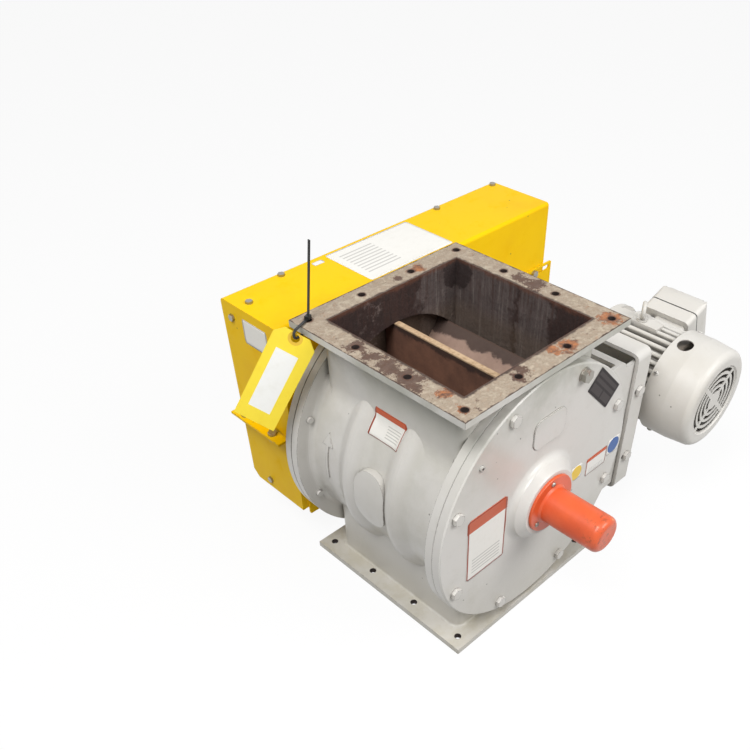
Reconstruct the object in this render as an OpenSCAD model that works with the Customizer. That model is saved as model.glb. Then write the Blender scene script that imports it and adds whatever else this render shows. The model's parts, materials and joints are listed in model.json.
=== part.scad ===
// Rotary airlock valve with a side-mounted gearmotor and a guarded chain drive.
// Frame: origin at the centre of the outlet flange's underside, +Z up through the throats,
// Y along the rotor shaft (the chain drive is at +Y), +X towards the gearmotor.

/* [Flanges and throats] */
// Height from the outlet flange's underside to the inlet flange's face
height = 440; // [436:1:470]
// Side of the square throat opening
opening_w = 254; // [246:1:262]
// Thickness of the square flanges
flange_t = 10; // [8:0.5:12]
// Distance from the opening's edge to the row of flange holes
hole_inset = 19; // [18:0.5:22]
// Distance from the row of flange holes to the flange's edge
hole_edge = 19; // [16:0.5:24]
// Diameter of the flange holes
hole_d = 10.5; // [9:0.5:12]
// Wall of the square throats
throat_wall = 9; // [7:0.5:10]
// Radius of the throats' upright corners
throat_corner = 16; // [10:1:20]
// Fillet between a throat and its flange
foot_fillet = 4; // [2:0.5:4.5]

/* [Housing] */
// Bore of the housing
bore_d = 328; // [322:1:330]
// Wall of the barrel
barrel_wall = 13; // [11:0.5:14]
// Width of the housing's end flanges beyond the barrel
end_rim = 28; // [27:0.5:29]
// Thickness of the housing's end flanges
end_flange_t = 14; // [12:0.5:16]
// Height of the two cast ribs around the barrel
rib_h = 11.5; // [6:0.5:13]
// Width of a rib along the barrel
rib_w = 60; // [40:1:70]
// Distance of each rib from the middle
rib_y = 46; // [44:1:52]
// Fillet where the barrel flows into the upper throat
flare_r = 40; // [25:1:45]

/* [End plates] */
// Thickness of an end plate
plate_t = 14; // [12:0.5:18]
// Depth of the bearing boss beyond the plate
boss_l = 20; // [18:0.5:24]
// Radius of the boss at its face
boss_r = 54; // [52:1:58]
// Radius of the boss where it meets the plate
boss_foot_r = 68; // [64:1:74]
// Distance of the bolt circle from an end plate's edge
bolt_edge = 17.25; // [16:0.25:18]
// Reach of the square flanges beyond the end plates
plate_lap = 2; // [0.5:0.5:4]
// Number of bolts in an end plate
bolt_count = 8; // [6:2:12]

/* [Rotor] */
// Number of vanes
vane_count = 8; // [6:1:10]
// Thickness of a vane
vane_t = 9.5; // [8:0.5:12]
// Gap between the vane tips and the bore
tip_gap = 0.5; // [0.4:0.1:1]
// Gap between the vane ends and an end plate
end_gap = 1; // [0.6:0.1:1.5]
// Outer diameter of the rotor hub
hub_d = 100; // [80:1:120]
// Diameter of the shaft inside the hub
shaft_d = 42; // [40:1:43]
// Diameter of the bearing journals and the shaft ends
journal_d = 35; // [33:1:36]
// Running clearance between a turning face and a fixed one
run_gap = 0.05; // [0.03:0.01:0.08]

/* [Shaft cover] */
// Length of the cover beyond the boss
cover_l = 101; // [90:1:120]
// Outer diameter of the cover's tube
cover_d = 56; // [52:1:60]
// Outer diameter of the cover's foot
cover_foot_d = 92; // [90:1:96]
// Wall of the moulded cover
cover_wall = 3; // [2:0.5:3.5]

/* [Chain drive] */
// Pitch of the roller chain
chain_pitch = 15.875; // [15.2:0.005:16.2]
// Diameter of the chain rollers
roller_d = 10.16; // [10:0.02:10.4]
// Teeth of the sprocket on the rotor
driven_teeth = 40; // [38:2:42]
// Teeth of the sprocket on the gearmotor
drive_teeth = 16; // [14:2:16]
// Pitches in each straight run of the chain
span_links = 22; // [21:1:23]
// Distance of the chain's middle plane from the valve's middle
chain_y = 252; // [246:1:256]

/* [Guard] */
// Sheet thickness of the guard
sheet_t = 2; // [1.5:0.5:2.5]
// Depth of the guard along the shaft
guard_l = 135; // [130:1:140]
// Height of the guard's top above the shaft
guard_up = 198; // [190:1:205]
// Depth of the guard's bottom below the shaft
guard_down = 144; // [138:1:150]
// Reach of the guard beyond the rotor shaft
guard_left = 174; // [165:1:180]
// Reach of the guard beyond the gearmotor's output shaft
guard_right = 82; // [74:1:88]
// Width of the lips where the two halves bolt together
lip_w = 21; // [19:1:24]
// Thickness of the plate that carries the guard
back_t = 3; // [2.5:0.5:4]

/* [Motor bracket] */
// Plate thickness of both brackets
bracket_t = 6; // [5:0.5:7]
// Height of the outer bracket
bracket_h = 266; // [256:1:272]
// Distance from the shaft up to the outer bracket's top
bracket_up = 121; // [118:1:124]
// Width of the outer bracket's flanges
bracket_flange = 34; // [32:1:36]
// Gap between the housing's end flanges and the inner bracket
bracket_gap = 2; // [1:0.5:3]

/* [Gearmotor] */
// Distance from the foot face to the output shaft
foot_h = 74; // [70:1:78]
// Length of the gear case along the shaft
case_l = 152; // [146:1:156]
// Reach of the gear case's cover from the case to the guard
cover_reach = 31; // [28:1:34]
// Offset from the output shaft to the motor shaft
motor_offset = 40; // [36:1:44]
// Diameter of the output shaft
output_d = 28; // [24:1:30]
// Diameter of the motor shaft
motor_shaft_d = 20; // [18:1:24]
// Outer diameter of the motor's finned frame
frame_d = 164; // [158:1:168]
// Height of the cooling fins
fin_h = 11; // [8:0.5:12]
// Number of places for fins around the frame
fin_count = 36; // [30:2:40]
// Length of the finned frame
frame_l = 91; // [86:1:96]
// Outer diameter of the fan cover
fan_cover_d = 177; // [172:1:180]
// Length of the fan cover
fan_cover_l = 86; // [80:1:92]
// Tilt of the conduit box above the horizontal
box_tilt = 18; // [10:1:25]

/* [Identification tag] */
// Width of the tag
tag_w = 61; // [50:1:65]
// Length of the tag
tag_l = 148; // [120:1:155]
// Length of the cable tie's free tail
tail_l = 106; // [60:1:110]

/* [Hidden] */
$fn = 96;

eps = 0.01;
seat_gap = 0.3;
axis_z = height / 2;
bore_r = bore_d / 2;
barrel_r = bore_r + barrel_wall;
end_r = barrel_r + end_rim;
bolt_r = end_r - bolt_edge;
hole_span = opening_w + 2 * hole_inset;
flange_w = hole_span + 2 * hole_edge;
plate_y = flange_w / 2 - plate_lap;
face_y = plate_y - plate_t;
boss_y = plate_y + boss_l;
throat_r = opening_w / 2 + throat_wall;
hole_pitch = hole_span / 3;

seal_od = 52;
seal_t = 8;
bearing_od = 62;
bearing_t = 14;
seal_y = face_y + 9;
bearing_y = seal_y + seal_t;
ring_t = 1.6;
ball_d = 9;
ball_count = 11;
ball_ring_r = (bearing_od + journal_d) / 4;

jack_r = bolt_r - 4;
cover_screw_r = 37;
cover_tip_y = boss_y + cover_l;

driven_r = chain_pitch / (2 * sin(180 / driven_teeth));
drive_r = chain_pitch / (2 * sin(180 / drive_teeth));
chain_lean = asin((driven_r - drive_r) / (span_links * chain_pitch));
driven_wrap = floor((90 + chain_lean) * driven_teeth / 360);
drive_wrap = floor((90 - chain_lean) * drive_teeth / 360);
driven_leave = 180 - driven_wrap * 360 / driven_teeth;
drive_leave = drive_wrap * 360 / drive_teeth;
drive_x = driven_r * cos(driven_leave) - drive_r * cos(drive_leave)
    + sqrt(pow(span_links * chain_pitch, 2)
        - pow(driven_r * sin(driven_leave) - drive_r * sin(drive_leave), 2));

back_y = boss_y + back_t;
guard_y = back_y;
guard_far_y = guard_y + guard_l;
guard_x0 = -guard_left;
guard_x1 = drive_x + guard_right;
guard_z0 = axis_z - guard_down;
guard_z1 = axis_z + guard_up;

foot_x = drive_x - foot_h;
outer_x0 = foot_x - bracket_flange;
bracket_z1 = axis_z + bracket_up;
bracket_z0 = bracket_z1 - bracket_h;
inner_x = end_r + bracket_gap;
bracket_y = face_y + 2;
tab_y = bracket_y - bracket_t - 0.5;
adjust_x = foot_x - bracket_t - 11.5;
adjust_z = [axis_z + 52, axis_z - 79];

motor_x = drive_x + motor_offset;
case_y = boss_y - cover_reach;
adapter_y = case_y - case_l;
adapter_l = 45;
frame_y = adapter_y - adapter_l;
frame_end_y = frame_y - frame_l;
fan_cover_end_y = frame_end_y - fan_cover_l;

paint_body = [0.80, 0.79, 0.75];
paint_motor = [0.86, 0.85, 0.81];
paint_guard = [0.98, 0.79, 0.06];
steel = [0.62, 0.61, 0.58];

// ---- helpers -------------------------------------------------------------

// Extrudes a drawing in the X-Z plane from y0 to y1.
module xz_plate(y0, y1) {
    translate([0, y1, 0]) rotate([90, 0, 0]) linear_extrude(y1 - y0) children();
}

// Extrudes a drawing in the Y-Z plane from x0 to x1.
module yz_plate(x0, x1) {
    translate([x0, 0, 0]) rotate([90, 0, 90]) linear_extrude(x1 - x0) children();
}

// Spins a drawing of [radius, y] about an axis along Y through (x, z).
module spin(x = 0, z = axis_z) {
    translate([x, 0, z]) rotate([-90, 0, 0]) rotate_extrude() children();
}

// A round bar along Y.
module bar_y(r, y0, y1, x = 0, z = axis_z) {
    translate([x, y0, z]) rotate([-90, 0, 0]) cylinder(r = r, h = y1 - y0);
}

// A round bar along X.
module bar_x(r, x0, x1, y = 0, z = axis_z) {
    translate([x0, y, z]) rotate([0, 90, 0]) cylinder(r = r, h = x1 - x0);
}

// A round bar along Z.
module bar_z(r, z0, z1, x = 0, y = 0) {
    translate([x, y, z0]) cylinder(r = r, h = z1 - z0);
}

// A rectangle with rounded corners from p to q.
module round_rect(p, q, r) {
    translate([p[0] + r, p[1]]) square([q[0] - p[0] - 2 * r, q[1] - p[1]]);
    translate([p[0], p[1] + r]) square([q[0] - p[0], q[1] - p[1] - 2 * r]);
    for (x = [p[0] + r, q[0] - r], y = [p[1] + r, q[1] - r])
        translate([x, y]) circle(r = r);
}

// Hexagon head or nut of the given width across flats, standing on z = 0.
module hex(af, h) {
    rotate(30) cylinder(d = af / cos(30), h = h, $fn = 6);
}

// Hexagon bolt: head above z = 0, shank below.
module hex_bolt(af, head_h, shank_d, shank_l) {
    hex(af, head_h);
    translate([0, 0, -shank_l]) cylinder(d = shank_d, h = shank_l + eps);
}

// Round-headed screw: head above z = 0, shank below, with a cross recess.
module cross_screw(head_d, head_h, shank_d, shank_l) {
    difference() {
        intersection() {
            cylinder(d = head_d, h = head_h);
            translate([0, 0, head_h - head_d * 0.62]) sphere(d = head_d * 1.24);
        }
        for (a = [0, 90])
            rotate(a) translate([-head_d * 0.3, -head_d * 0.06, head_h * 0.45])
                cube([head_d * 0.6, head_d * 0.12, head_h]);
    }
    translate([0, 0, -shank_l]) cylinder(d = shank_d, h = shank_l + eps);
}

// Places children on a circle about the rotor axis, pointing along +Y or -Y.
module on_circle(r, angles, y, side = 1, x = 0, z = axis_z) {
    for (a = angles)
        translate([x + r * cos(a), y, z + r * sin(a)]) rotate([-90 * side, 0, 0]) children();
}

function ring_angles(n, first) = [for (i = [0 : n - 1]) first + i * 360 / n];

bolt_angles = ring_angles(bolt_count, 180 / bolt_count);

// ---- housing -------------------------------------------------------------

// Outline of one rib as a raised cosine from the barrel.
function rib_points(mid) = [for (i = [0 : 14])
    let (u = i / 14, y = mid - rib_w / 2 + u * rib_w)
    [barrel_r + rib_h * (1 - cos(360 * u)) / 2, y]];

module barrel() {
    spin() polygon(concat(
        [[0, -face_y], [end_r - 1.5, -face_y], [end_r, -face_y + 1.5],
            [end_r, end_flange_t - face_y]],
        [for (i = [0 : 5]) let (a = i * 18) [barrel_r + 10 - 10 * sin(a),
            end_flange_t - face_y + 10 - 10 * cos(a)]],
        rib_points(-rib_y), rib_points(rib_y),
        [for (i = [5 : -1 : 0]) let (a = i * 18) [barrel_r + 10 - 10 * sin(a),
            face_y - end_flange_t - 10 + 10 * cos(a)]],
        [[end_r, face_y - end_flange_t], [end_r, face_y - 1.5], [end_r - 1.5, face_y],
            [0, face_y]]));
}

// Fillet from the upper throat onto the barrel, seen along the shaft from the axis.
flare_x = throat_r + flare_r;
flare_z = sqrt(pow(barrel_r + flare_r, 2) - flare_x * flare_x);
flare_a = atan2(flare_z, flare_x);
throat_flat = throat_r - throat_corner;

module flare() {
    inside = opening_w / 2 + throat_wall / 2;
    xz_plate(-throat_flat, throat_flat) polygon(concat([[inside, flare_z]],
        [for (i = [0 : 8]) let (a = 180 + i * flare_a / 8)
            [flare_x + flare_r * cos(a), flare_z + flare_r * sin(a)]],
        [[inside, flare_z - flare_r]]));
}

// Concave profile between a wall and a flange, as [distance from the wall, height].
function foot_points() = concat([[-1, -1], [-1, foot_fillet]],
    [for (i = [0 : 5]) let (a = i * 18)
        [foot_fillet * (1 - cos(a)), foot_fillet * (1 - sin(a))]],
    [[foot_fillet, -1]]);

// Fillet all round the foot of a throat that stands on z = 0.
module throat_foot() {
    for (a = [0, 90, 180, 270]) rotate(a) {
        translate([throat_flat, throat_flat, 0])
            rotate_extrude() translate([throat_corner, 0]) polygon(foot_points());
        translate([throat_r, throat_flat, 0]) rotate([90, 0, 0])
            linear_extrude(2 * throat_flat) polygon(foot_points());
    }
}

// One square column through the barrel carries both flanges.
module throats() {
    translate([0, 0, flange_t / 2]) linear_extrude(height - flange_t)
        round_rect([-throat_r, -throat_r], [throat_r, throat_r], throat_corner);
    translate([0, 0, flange_t]) throat_foot();
    translate([0, 0, height - flange_t]) mirror([0, 0, 1]) throat_foot();
    translate([0, 0, axis_z]) {
        flare();
        mirror([1, 0, 0]) flare();
    }
}

module square_flanges() {
    for (z = [0, height - flange_t])
        translate([-flange_w / 2, -flange_w / 2, z]) cube([flange_w, flange_w, flange_t]);
}

module flange_holes() {
    for (ix = [-1.5 : 1 : 1.5], iy = [-1.5 : 1 : 1.5])
        if (abs(ix) > 1 || abs(iy) > 1)
            for (z = [0, height - flange_t])
                bar_z(hole_d / 2, z - 1, z + flange_t + 1, ix * hole_pitch, iy * hole_pitch);
}

pad_y = 96;
pad_w = 32;
pad_z = 74;

// Cast pads that carry the motor bracket.
module bracket_pads() {
    for (s = [-1, 1])
        translate([bore_r - 10, s * pad_y - pad_w / 2, axis_z - pad_z - 20])
            cube([inner_x - bore_r + 10, pad_w, 2 * pad_z + 40]);
}

cast_pad_r = barrel_r + 10;
arrow_y = 98;

// Extrudes a drawing in the Y-Z plane through the barrel's wall away from the motor.
module on_far_wall() {
    yz_plate(-cast_pad_r, -throat_r - 10) children();
}

// Cast oval pad between the ribs on the side away from the motor.
module barrel_pad() {
    intersection() {
        on_far_wall() round_rect([-34, axis_z - 40], [28, axis_z + 54], 30);
        bar_y(cast_pad_r, -rib_y, rib_y);
    }
}

// Cast arrow that shows which way the rotor turns.
module barrel_arrow() {
    intersection() {
        on_far_wall() {
            translate([arrow_y - 2.5, axis_z - 14]) square([5, 60]);
            polygon([[arrow_y - 11, axis_z + 44], [arrow_y, axis_z + 64],
                [arrow_y + 11, axis_z + 44]]);
        }
        bar_y(barrel_r + 2, rib_y, face_y);
    }
}

module housing() {
    color(paint_body) difference() {
        union() {
            barrel();
            throats();
            square_flanges();
            bracket_pads();
            barrel_pad();
            barrel_arrow();
        }
        bar_y(bore_r, -face_y - 1, face_y + 1);
        translate([-opening_w / 2, -opening_w / 2, -1])
            cube([opening_w, opening_w, height + 2]);
        flange_holes();
        for (s = [-1, 1])
            on_circle(bolt_r, bolt_angles, s * (face_y + 1), -s) cylinder(d = 10, h = end_flange_t + 7);
        for (s = [-1, 1], k = [-1, 1])
            bar_x(5, inner_x - 22, inner_x + 1, s * pad_y, axis_z + k * pad_z);
    }
}

// ---- end plates ----------------------------------------------------------

// Half section of an end plate as [radius, distance from the housing's face].
function plate_section() = concat(
    [[shaft_d / 2 + 1, 0], [end_r, 0], [end_r, plate_t - 2], [end_r - 2, plate_t],
        [boss_foot_r + 8, plate_t]],
    [for (i = [1 : 6]) let (a = i * 13)
        [boss_foot_r + 8 - 12 * sin(a), plate_t + 12 - 12 * cos(a)]],
    [[boss_r, plate_t + boss_l - 2], [boss_r - 2, plate_t + boss_l],
        [bearing_od / 2, plate_t + boss_l], [bearing_od / 2, bearing_y - face_y],
        [seal_od / 2, bearing_y - face_y], [seal_od / 2, seal_y - face_y],
        [shaft_d / 2 + 1, seal_y - face_y]]);

// Plain cast pad above the boss of the outboard plate.
module plate_pad() {
    xz_plate(-plate_y - 2, -plate_y + 1)
        round_rect([-27, axis_z + 95], [40, axis_z + 143], 14);
}

module end_plate(side) {
    color(paint_body) difference() {
        union() {
            translate([0, side * face_y, axis_z]) rotate([-90 * side, 0, 0])
                rotate_extrude() polygon(plate_section());
            if (side < 0) plate_pad();
        }
        on_circle(bolt_r, bolt_angles, side * (face_y - 1), side)
            cylinder(d = 11, h = plate_t + 2);
        on_circle(jack_r, [135, 315], side * (face_y - 1), side) cylinder(d = 8, h = plate_t + 2);
        if (side < 0)
            on_circle(cover_screw_r, [93, 213, 333], -boss_y + 12, -1) cylinder(d = 5, h = 13);
        else
            on_circle(back_screw_r, ring_angles(4, 45), boss_y - 12) cylinder(d = 6, h = 13);
    }
}

big_angle = 67.5;

module end_plate_bolts() {
    color(paint_body) for (side = [-1, 1])
        on_circle(bolt_r, [for (a = bolt_angles) if (side > 0 || a != big_angle) a],
            side * plate_y, side) hex_bolt(16, 6.4, 10, plate_t + end_flange_t + 5);
}

// A later, larger bolt with a washer.
module replaced_bolt() {
    color(steel) on_circle(bolt_r, [big_angle], -plate_y, -1) {
        cylinder(d = 22, h = 2);
        translate([0, 0, 2]) hex_bolt(18, 7.5, 10, plate_t + end_flange_t + 8);
    }
}

module jacking_screws() {
    color(steel) for (s = [-1, 1])
        on_circle(jack_r, [135, 315], s * face_y, s) difference() {
            cylinder(d = 8, h = plate_t + 3);
            translate([0, 0, plate_t - 1]) hex(4, 5);
        }
}

module shaft_seal(side) {
    color("dimgray") translate([0, side * seal_y, axis_z]) rotate([-90 * side, 0, 0])
        rotate_extrude() polygon([[journal_d / 2 + run_gap, 3], [journal_d / 2 + 3, 0.5],
            [seal_od / 2 - 2, 0], [seal_od / 2, 1], [seal_od / 2, seal_t],
            [journal_d / 2 + 3, seal_t], [journal_d / 2 + run_gap, seal_t - 2]]);
}

// ---- bearings ------------------------------------------------------------

module bearing_outer(side) {
    r = ball_ring_r;
    color("silver") translate([0, side * bearing_y, axis_z]) rotate([-90 * side, 0, 0])
        rotate_extrude() difference() {
            translate([r + 3, 0]) square([bearing_od / 2 - r - 3, bearing_t]);
            translate([r, bearing_t / 2]) circle(d = ball_d + 2 * run_gap);
        }
}

module bearing_inner(side) {
    r = ball_ring_r;
    color("silver") translate([0, side * bearing_y, axis_z]) rotate([-90 * side, 0, 0])
        rotate_extrude() difference() {
            translate([journal_d / 2, 0]) square([r - 3 - journal_d / 2, bearing_t]);
            translate([r, bearing_t / 2]) circle(d = ball_d + 2 * run_gap);
        }
}

module bearing_balls() {
    color("gainsboro") for (s = [-1, 1], a = ring_angles(ball_count, 0))
        translate([ball_ring_r * cos(a), s * (bearing_y + bearing_t / 2),
            axis_z + ball_ring_r * sin(a)]) sphere(d = ball_d, $fn = 48);
}

// Rings that keep the balls apart.
module bearing_cages() {
    color("goldenrod") for (s = [-1, 1])
        translate([0, s * (bearing_y + bearing_t / 2), axis_z]) rotate([-90, 0, 0])
            difference() {
                rotate_extrude() translate([ball_ring_r - 1.2, 1 - bearing_t / 2])
                    square([2.4, bearing_t - 2]);
                for (a = ring_angles(ball_count, 0)) rotate([0, 90, a])
                    translate([0, 0, ball_ring_r - 4]) cylinder(d = ball_d + 2 * run_gap, h = 8);
            }
}

module retaining_rings() {
    color("dimgray") for (s = [-1, 1])
        translate([0, s * (bearing_y + bearing_t), axis_z]) rotate([-90 * s, 0, 0])
            linear_extrude(ring_t) difference() {
                circle(r = bearing_od / 2);
                circle(r = bearing_od / 2 - 3.5);
                translate([-4, 0]) square([8, bearing_od]);
            }
}

// ---- shaft cover and nameplate --------------------------------------------

module shaft_cover() {
    tube_r = cover_d / 2;
    foot_t = 4;
    tip_r = 10;
    in_r = tube_r - cover_wall;
    color([0.94, 0.38, 0.18]) difference() {
        translate([0, -boss_y, axis_z]) rotate([90, 0, 0]) rotate_extrude() polygon(concat(
            [[in_r, 0], [cover_foot_d / 2, 0], [cover_foot_d / 2, foot_t - 1],
                [cover_foot_d / 2 - 1, foot_t], [tube_r + 3, foot_t], [tube_r, foot_t + 3]],
            [for (i = [0 : 6]) let (a = i * 15)
                [tube_r - tip_r + tip_r * cos(a), cover_l - tip_r + tip_r * sin(a)]],
            [[0, cover_l], [0, cover_l - cover_wall]],
            [for (i = [6 : -1 : 0]) let (a = i * 15, q = tip_r - cover_wall)
                [in_r - q + q * cos(a), cover_l - tip_r + q * sin(a)]]));
        on_circle(cover_screw_r, [93, 213, 333], -boss_y + 1, -1) cylinder(d = 5.4, h = 10);
    }
}

module shaft_cover_screws() {
    color("silver") on_circle(cover_screw_r, [93, 213, 333], -boss_y - 4, -1)
        cross_screw(8, 3, 5, 13);
}

nameplate_angle = 44.2;
nameplate_mid_r = 178;
nameplate_size = [39, 76];

module nameplate() {
    color([0.25, 0.24, 0.25]) translate([0, -plate_y, axis_z]) rotate([90, 0, 0])
        rotate(nameplate_angle) translate([nameplate_mid_r, 0, 0]) linear_extrude(0.8)
            round_rect(-nameplate_size / 2, nameplate_size / 2, 1.5);
}

// ---- rotor ---------------------------------------------------------------

vane_half = face_y - end_gap;
shaft_tail_y = -(cover_tip_y - cover_wall - 10);
shaft_drive_y = guard_far_y - sheet_t - 24;
key_w = 8;
key_h = 3;

module rotor_shaft() {
    color("silver") difference() {
        spin() polygon([[0, shaft_tail_y], [journal_d / 2 - 1, shaft_tail_y],
            [journal_d / 2, shaft_tail_y + 1], [journal_d / 2, -seal_y],
            [shaft_d / 2, -seal_y], [shaft_d / 2, seal_y], [journal_d / 2, seal_y],
            [journal_d / 2, shaft_drive_y - 1], [journal_d / 2 - 1, shaft_drive_y],
            [0, shaft_drive_y]]);
        translate([-key_w / 2, driven_hub_y0, axis_z + journal_d / 2 - key_h - 0.5])
            cube([key_w, shaft_drive_y, key_h + 1]);
    }
}

module rotor_hub() {
    color("silver") spin() polygon([[shaft_d / 2, -vane_half], [hub_d / 2, -vane_half],
        [hub_d / 2, vane_half], [shaft_d / 2, vane_half]]);
}

module rotor_vanes() {
    color([0.62, 0.52, 0.38]) for (a = ring_angles(vane_count, 90))
        difference() {
            intersection() {
                translate([0, 0, axis_z]) rotate([0, -a, 0])
                    translate([0, -vane_half, -vane_t / 2])
                        cube([bore_r, 2 * vane_half, vane_t]);
                bar_y(bore_r - tip_gap, -vane_half, vane_half);
            }
            bar_y(hub_d / 2, -face_y, face_y);
        }
}

// ---- chain drive ---------------------------------------------------------

tooth_w = 8.6;
inner_w = 9.5;
link_t = 2;
link_h = 14.6;
pin_d = 5;
driven_hub_y0 = chain_y - tooth_w / 2;
driven_hub_l = 32;
drive_hub_y0 = chain_y - tooth_w / 2;
drive_hub_l = 28;

// Sprocket teeth with a round seat for every roller, opening outwards.
module tooth_outline(teeth, r) {
    seat = roller_d / 2 + seat_gap;
    difference() {
        circle(r = r + roller_d * 0.32);
        for (a = ring_angles(teeth, 0)) rotate(a) {
            translate([r, 0]) circle(r = seat);
            polygon([[r, -seat], [r + roller_d, -seat * 2], [r + roller_d, seat * 2],
                [r, seat]]);
        }
    }
}

module sprocket(teeth, r, x, hub_r, hub_l, bore) {
    difference() {
        union() {
            xz_plate(chain_y - tooth_w / 2, chain_y + tooth_w / 2)
                translate([x, axis_z]) tooth_outline(teeth, r);
            bar_y(hub_r, chain_y - tooth_w / 2, chain_y - tooth_w / 2 + hub_l, x);
        }
        bar_y(bore / 2, chain_y - tooth_w, chain_y + hub_l, x);
        translate([x - key_w / 2, chain_y - tooth_w, axis_z + bore / 2 - key_h])
            cube([key_w, tooth_w + hub_l, 2 * key_h]);
    }
}

module driven_sprocket() {
    color([0.35, 0.34, 0.33]) difference() {
        sprocket(driven_teeth, driven_r, 0, 32, driven_hub_l, journal_d);
        on_circle((driven_r + 26) / 2, ring_angles(5, 18), chain_y - tooth_w)
            cylinder(d = 30, h = 2 * tooth_w);
    }
}

module drive_sprocket() {
    color([0.35, 0.34, 0.33])
        sprocket(drive_teeth, drive_r, drive_x, 24, drive_hub_l, output_d);
}

// A key fills the keyways of a shaft and its sprocket.
module shaft_key(x, d, y0, l) {
    translate([x - key_w / 2, y0, axis_z + d / 2 - key_h - 0.5])
        cube([key_w, l, 2 * key_h + 0.5]);
}

module driven_key() {
    color("gray") shaft_key(0, journal_d, driven_hub_y0, driven_hub_l);
}

module drive_key() {
    color("gray") shaft_key(drive_x, output_d, drive_hub_y0, drive_hub_l);
}

// Roller centres, counted from where the upper run leaves the driven sprocket.
chain_links = 2 * (span_links + driven_wrap + drive_wrap);
function driven_point(a) = [driven_r * cos(a), driven_r * sin(a)];
function drive_point(a) = [drive_x + drive_r * cos(a), drive_r * sin(a)];
function roller(i) =
    let (n = (i + chain_links) % chain_links, a = span_links, b = a + 2 * drive_wrap,
        c = b + span_links)
    n <= a ? driven_point(driven_leave) + n / a
            * (drive_point(drive_leave) - driven_point(driven_leave))
    : n <= b ? drive_point(drive_leave - (n - a) * 360 / drive_teeth)
    : n <= c ? drive_point(-drive_leave) + (n - b) / span_links
            * (driven_point(-driven_leave) - drive_point(-drive_leave))
    : driven_point(-driven_leave - (n - c) * 360 / driven_teeth);

module link_plate(l, y0) {
    xz_plate(y0, y0 + link_t) {
        circle(d = link_h, $fn = 24);
        translate([l, 0]) circle(d = link_h, $fn = 24);
        translate([0, -link_h * 0.4]) square([l, link_h * 0.8]);
    }
}

// Every second link is an outer one, whose pins run in the rollers of the inner ones.
module chain_link(i) {
    p = roller(i);
    q = roller(i + 1);
    l = norm(q - p);
    outer = i % 2 == 0;
    half = inner_w / 2 + (outer ? link_t + 0.3 : 0);
    translate([p[0], chain_y, axis_z + p[1]]) rotate([0, -atan2(q[1] - p[1], q[0] - p[0]), 0])
        difference() {
            union() {
                for (y = [-half - link_t, half]) link_plate(l, y);
                for (x = [0, l])
                    bar_y(outer ? pin_d / 2 : roller_d / 2, -half - 0.5, half + 0.5, x, 0);
            }
            if (!outer)
                for (x = [0, l]) bar_y(pin_d / 2 + run_gap, -half - 9, half + 9, x, 0);
        }
}

module drive_chain() {
    color([0.3, 0.28, 0.26]) for (i = [0 : chain_links - 1]) chain_link(i);
}

// ---- guard ---------------------------------------------------------------

back_screw_r = 43;
back_x0 = guard_x0 + 12;
back_x1 = guard_x1 + 20;
back_z0 = guard_z0 - 14;
back_top = axis_z + 84;
clamp_x = guard_x1 - 30;
clamp_z = back_top - 9;
lip_bolt_y = [guard_y + 38, guard_far_y - 26];
nose_r = 40;

module slot(x0, x1, z, w) {
    translate([x0, z - w / 2]) square([x1 - x0, w]);
    for (x = [x0, x1]) translate([x, z]) circle(d = w);
}

module guard_back_plate() {
    color(paint_guard) difference() {
        xz_plate(boss_y, back_y) difference() {
            round_rect([back_x0, back_z0], [back_x1, back_top], 3);
            translate([0, axis_z]) circle(d = bearing_od + 2);
            slot(drive_x - 10, drive_x + 10, axis_z, 2 * nose_r + 4);
            slot(clamp_x, back_x1 - 11, clamp_z, 9);
        }
        on_circle(back_screw_r, ring_angles(4, 45), boss_y - 1) cylinder(d = 6.6, h = back_t + 2);
    }
}

module guard_back_screws() {
    color(steel) on_circle(back_screw_r, ring_angles(4, 45), back_y)
        hex_bolt(10, 4, 6, back_t + 12);
}

// Section of a guard half seen along X as [y, z].
module upper_section(t) {
    r = 6 - t;
    translate([guard_y + t, axis_z - 1]) square([guard_l - 2 * t, guard_up + 1 - t - r]);
    translate([guard_y + t + r, axis_z]) square([guard_l - 2 * t - 2 * r, guard_up - t]);
    for (y = [guard_y + t + r, guard_far_y - t - r])
        translate([y, guard_z1 - t - r]) circle(r = r);
}

// Only the far bottom edge is cut off.
module lower_section(t) {
    c = 13 - 0.6 * t;
    polygon([[guard_y + t, axis_z + 1], [guard_y + t, guard_z0 + t],
        [guard_far_y - t - c, guard_z0 + t], [guard_far_y - t, guard_z0 + c + t],
        [guard_far_y - t, axis_z + 1]]);
}

// Openings in the near wall for the two shafts.
module guard_shaft_slots() {
    xz_plate(guard_y - 1, guard_y + sheet_t + 1) {
        translate([0, axis_z]) circle(r = boss_r);
        slot(drive_x - 10, drive_x + 10, axis_z, 2 * nose_r + 4);
    }
}

module guard_lips(z0) {
    difference() {
        for (x = [guard_x0 - lip_w, guard_x1 - sheet_t])
            translate([x, guard_y + 10, z0]) cube([lip_w + sheet_t, guard_l - 10, sheet_t]);
        for (x = [guard_x0 - lip_w / 2, guard_x1 + lip_w / 2], y = lip_bolt_y)
            bar_z(4.2, z0 - 1, z0 + sheet_t + 1, x, y);
    }
}

top_screws = [[guard_x0 + 20, guard_y + 90], [guard_x1 - 12, guard_y + 123],
    [guard_x0 + 104, guard_far_y - 12], [guard_x1 - 157, guard_far_y - 12]];
end_screws = [[guard_y + 110, guard_z1 - 23], [guard_y + 84, guard_z0 + 18]];

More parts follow.
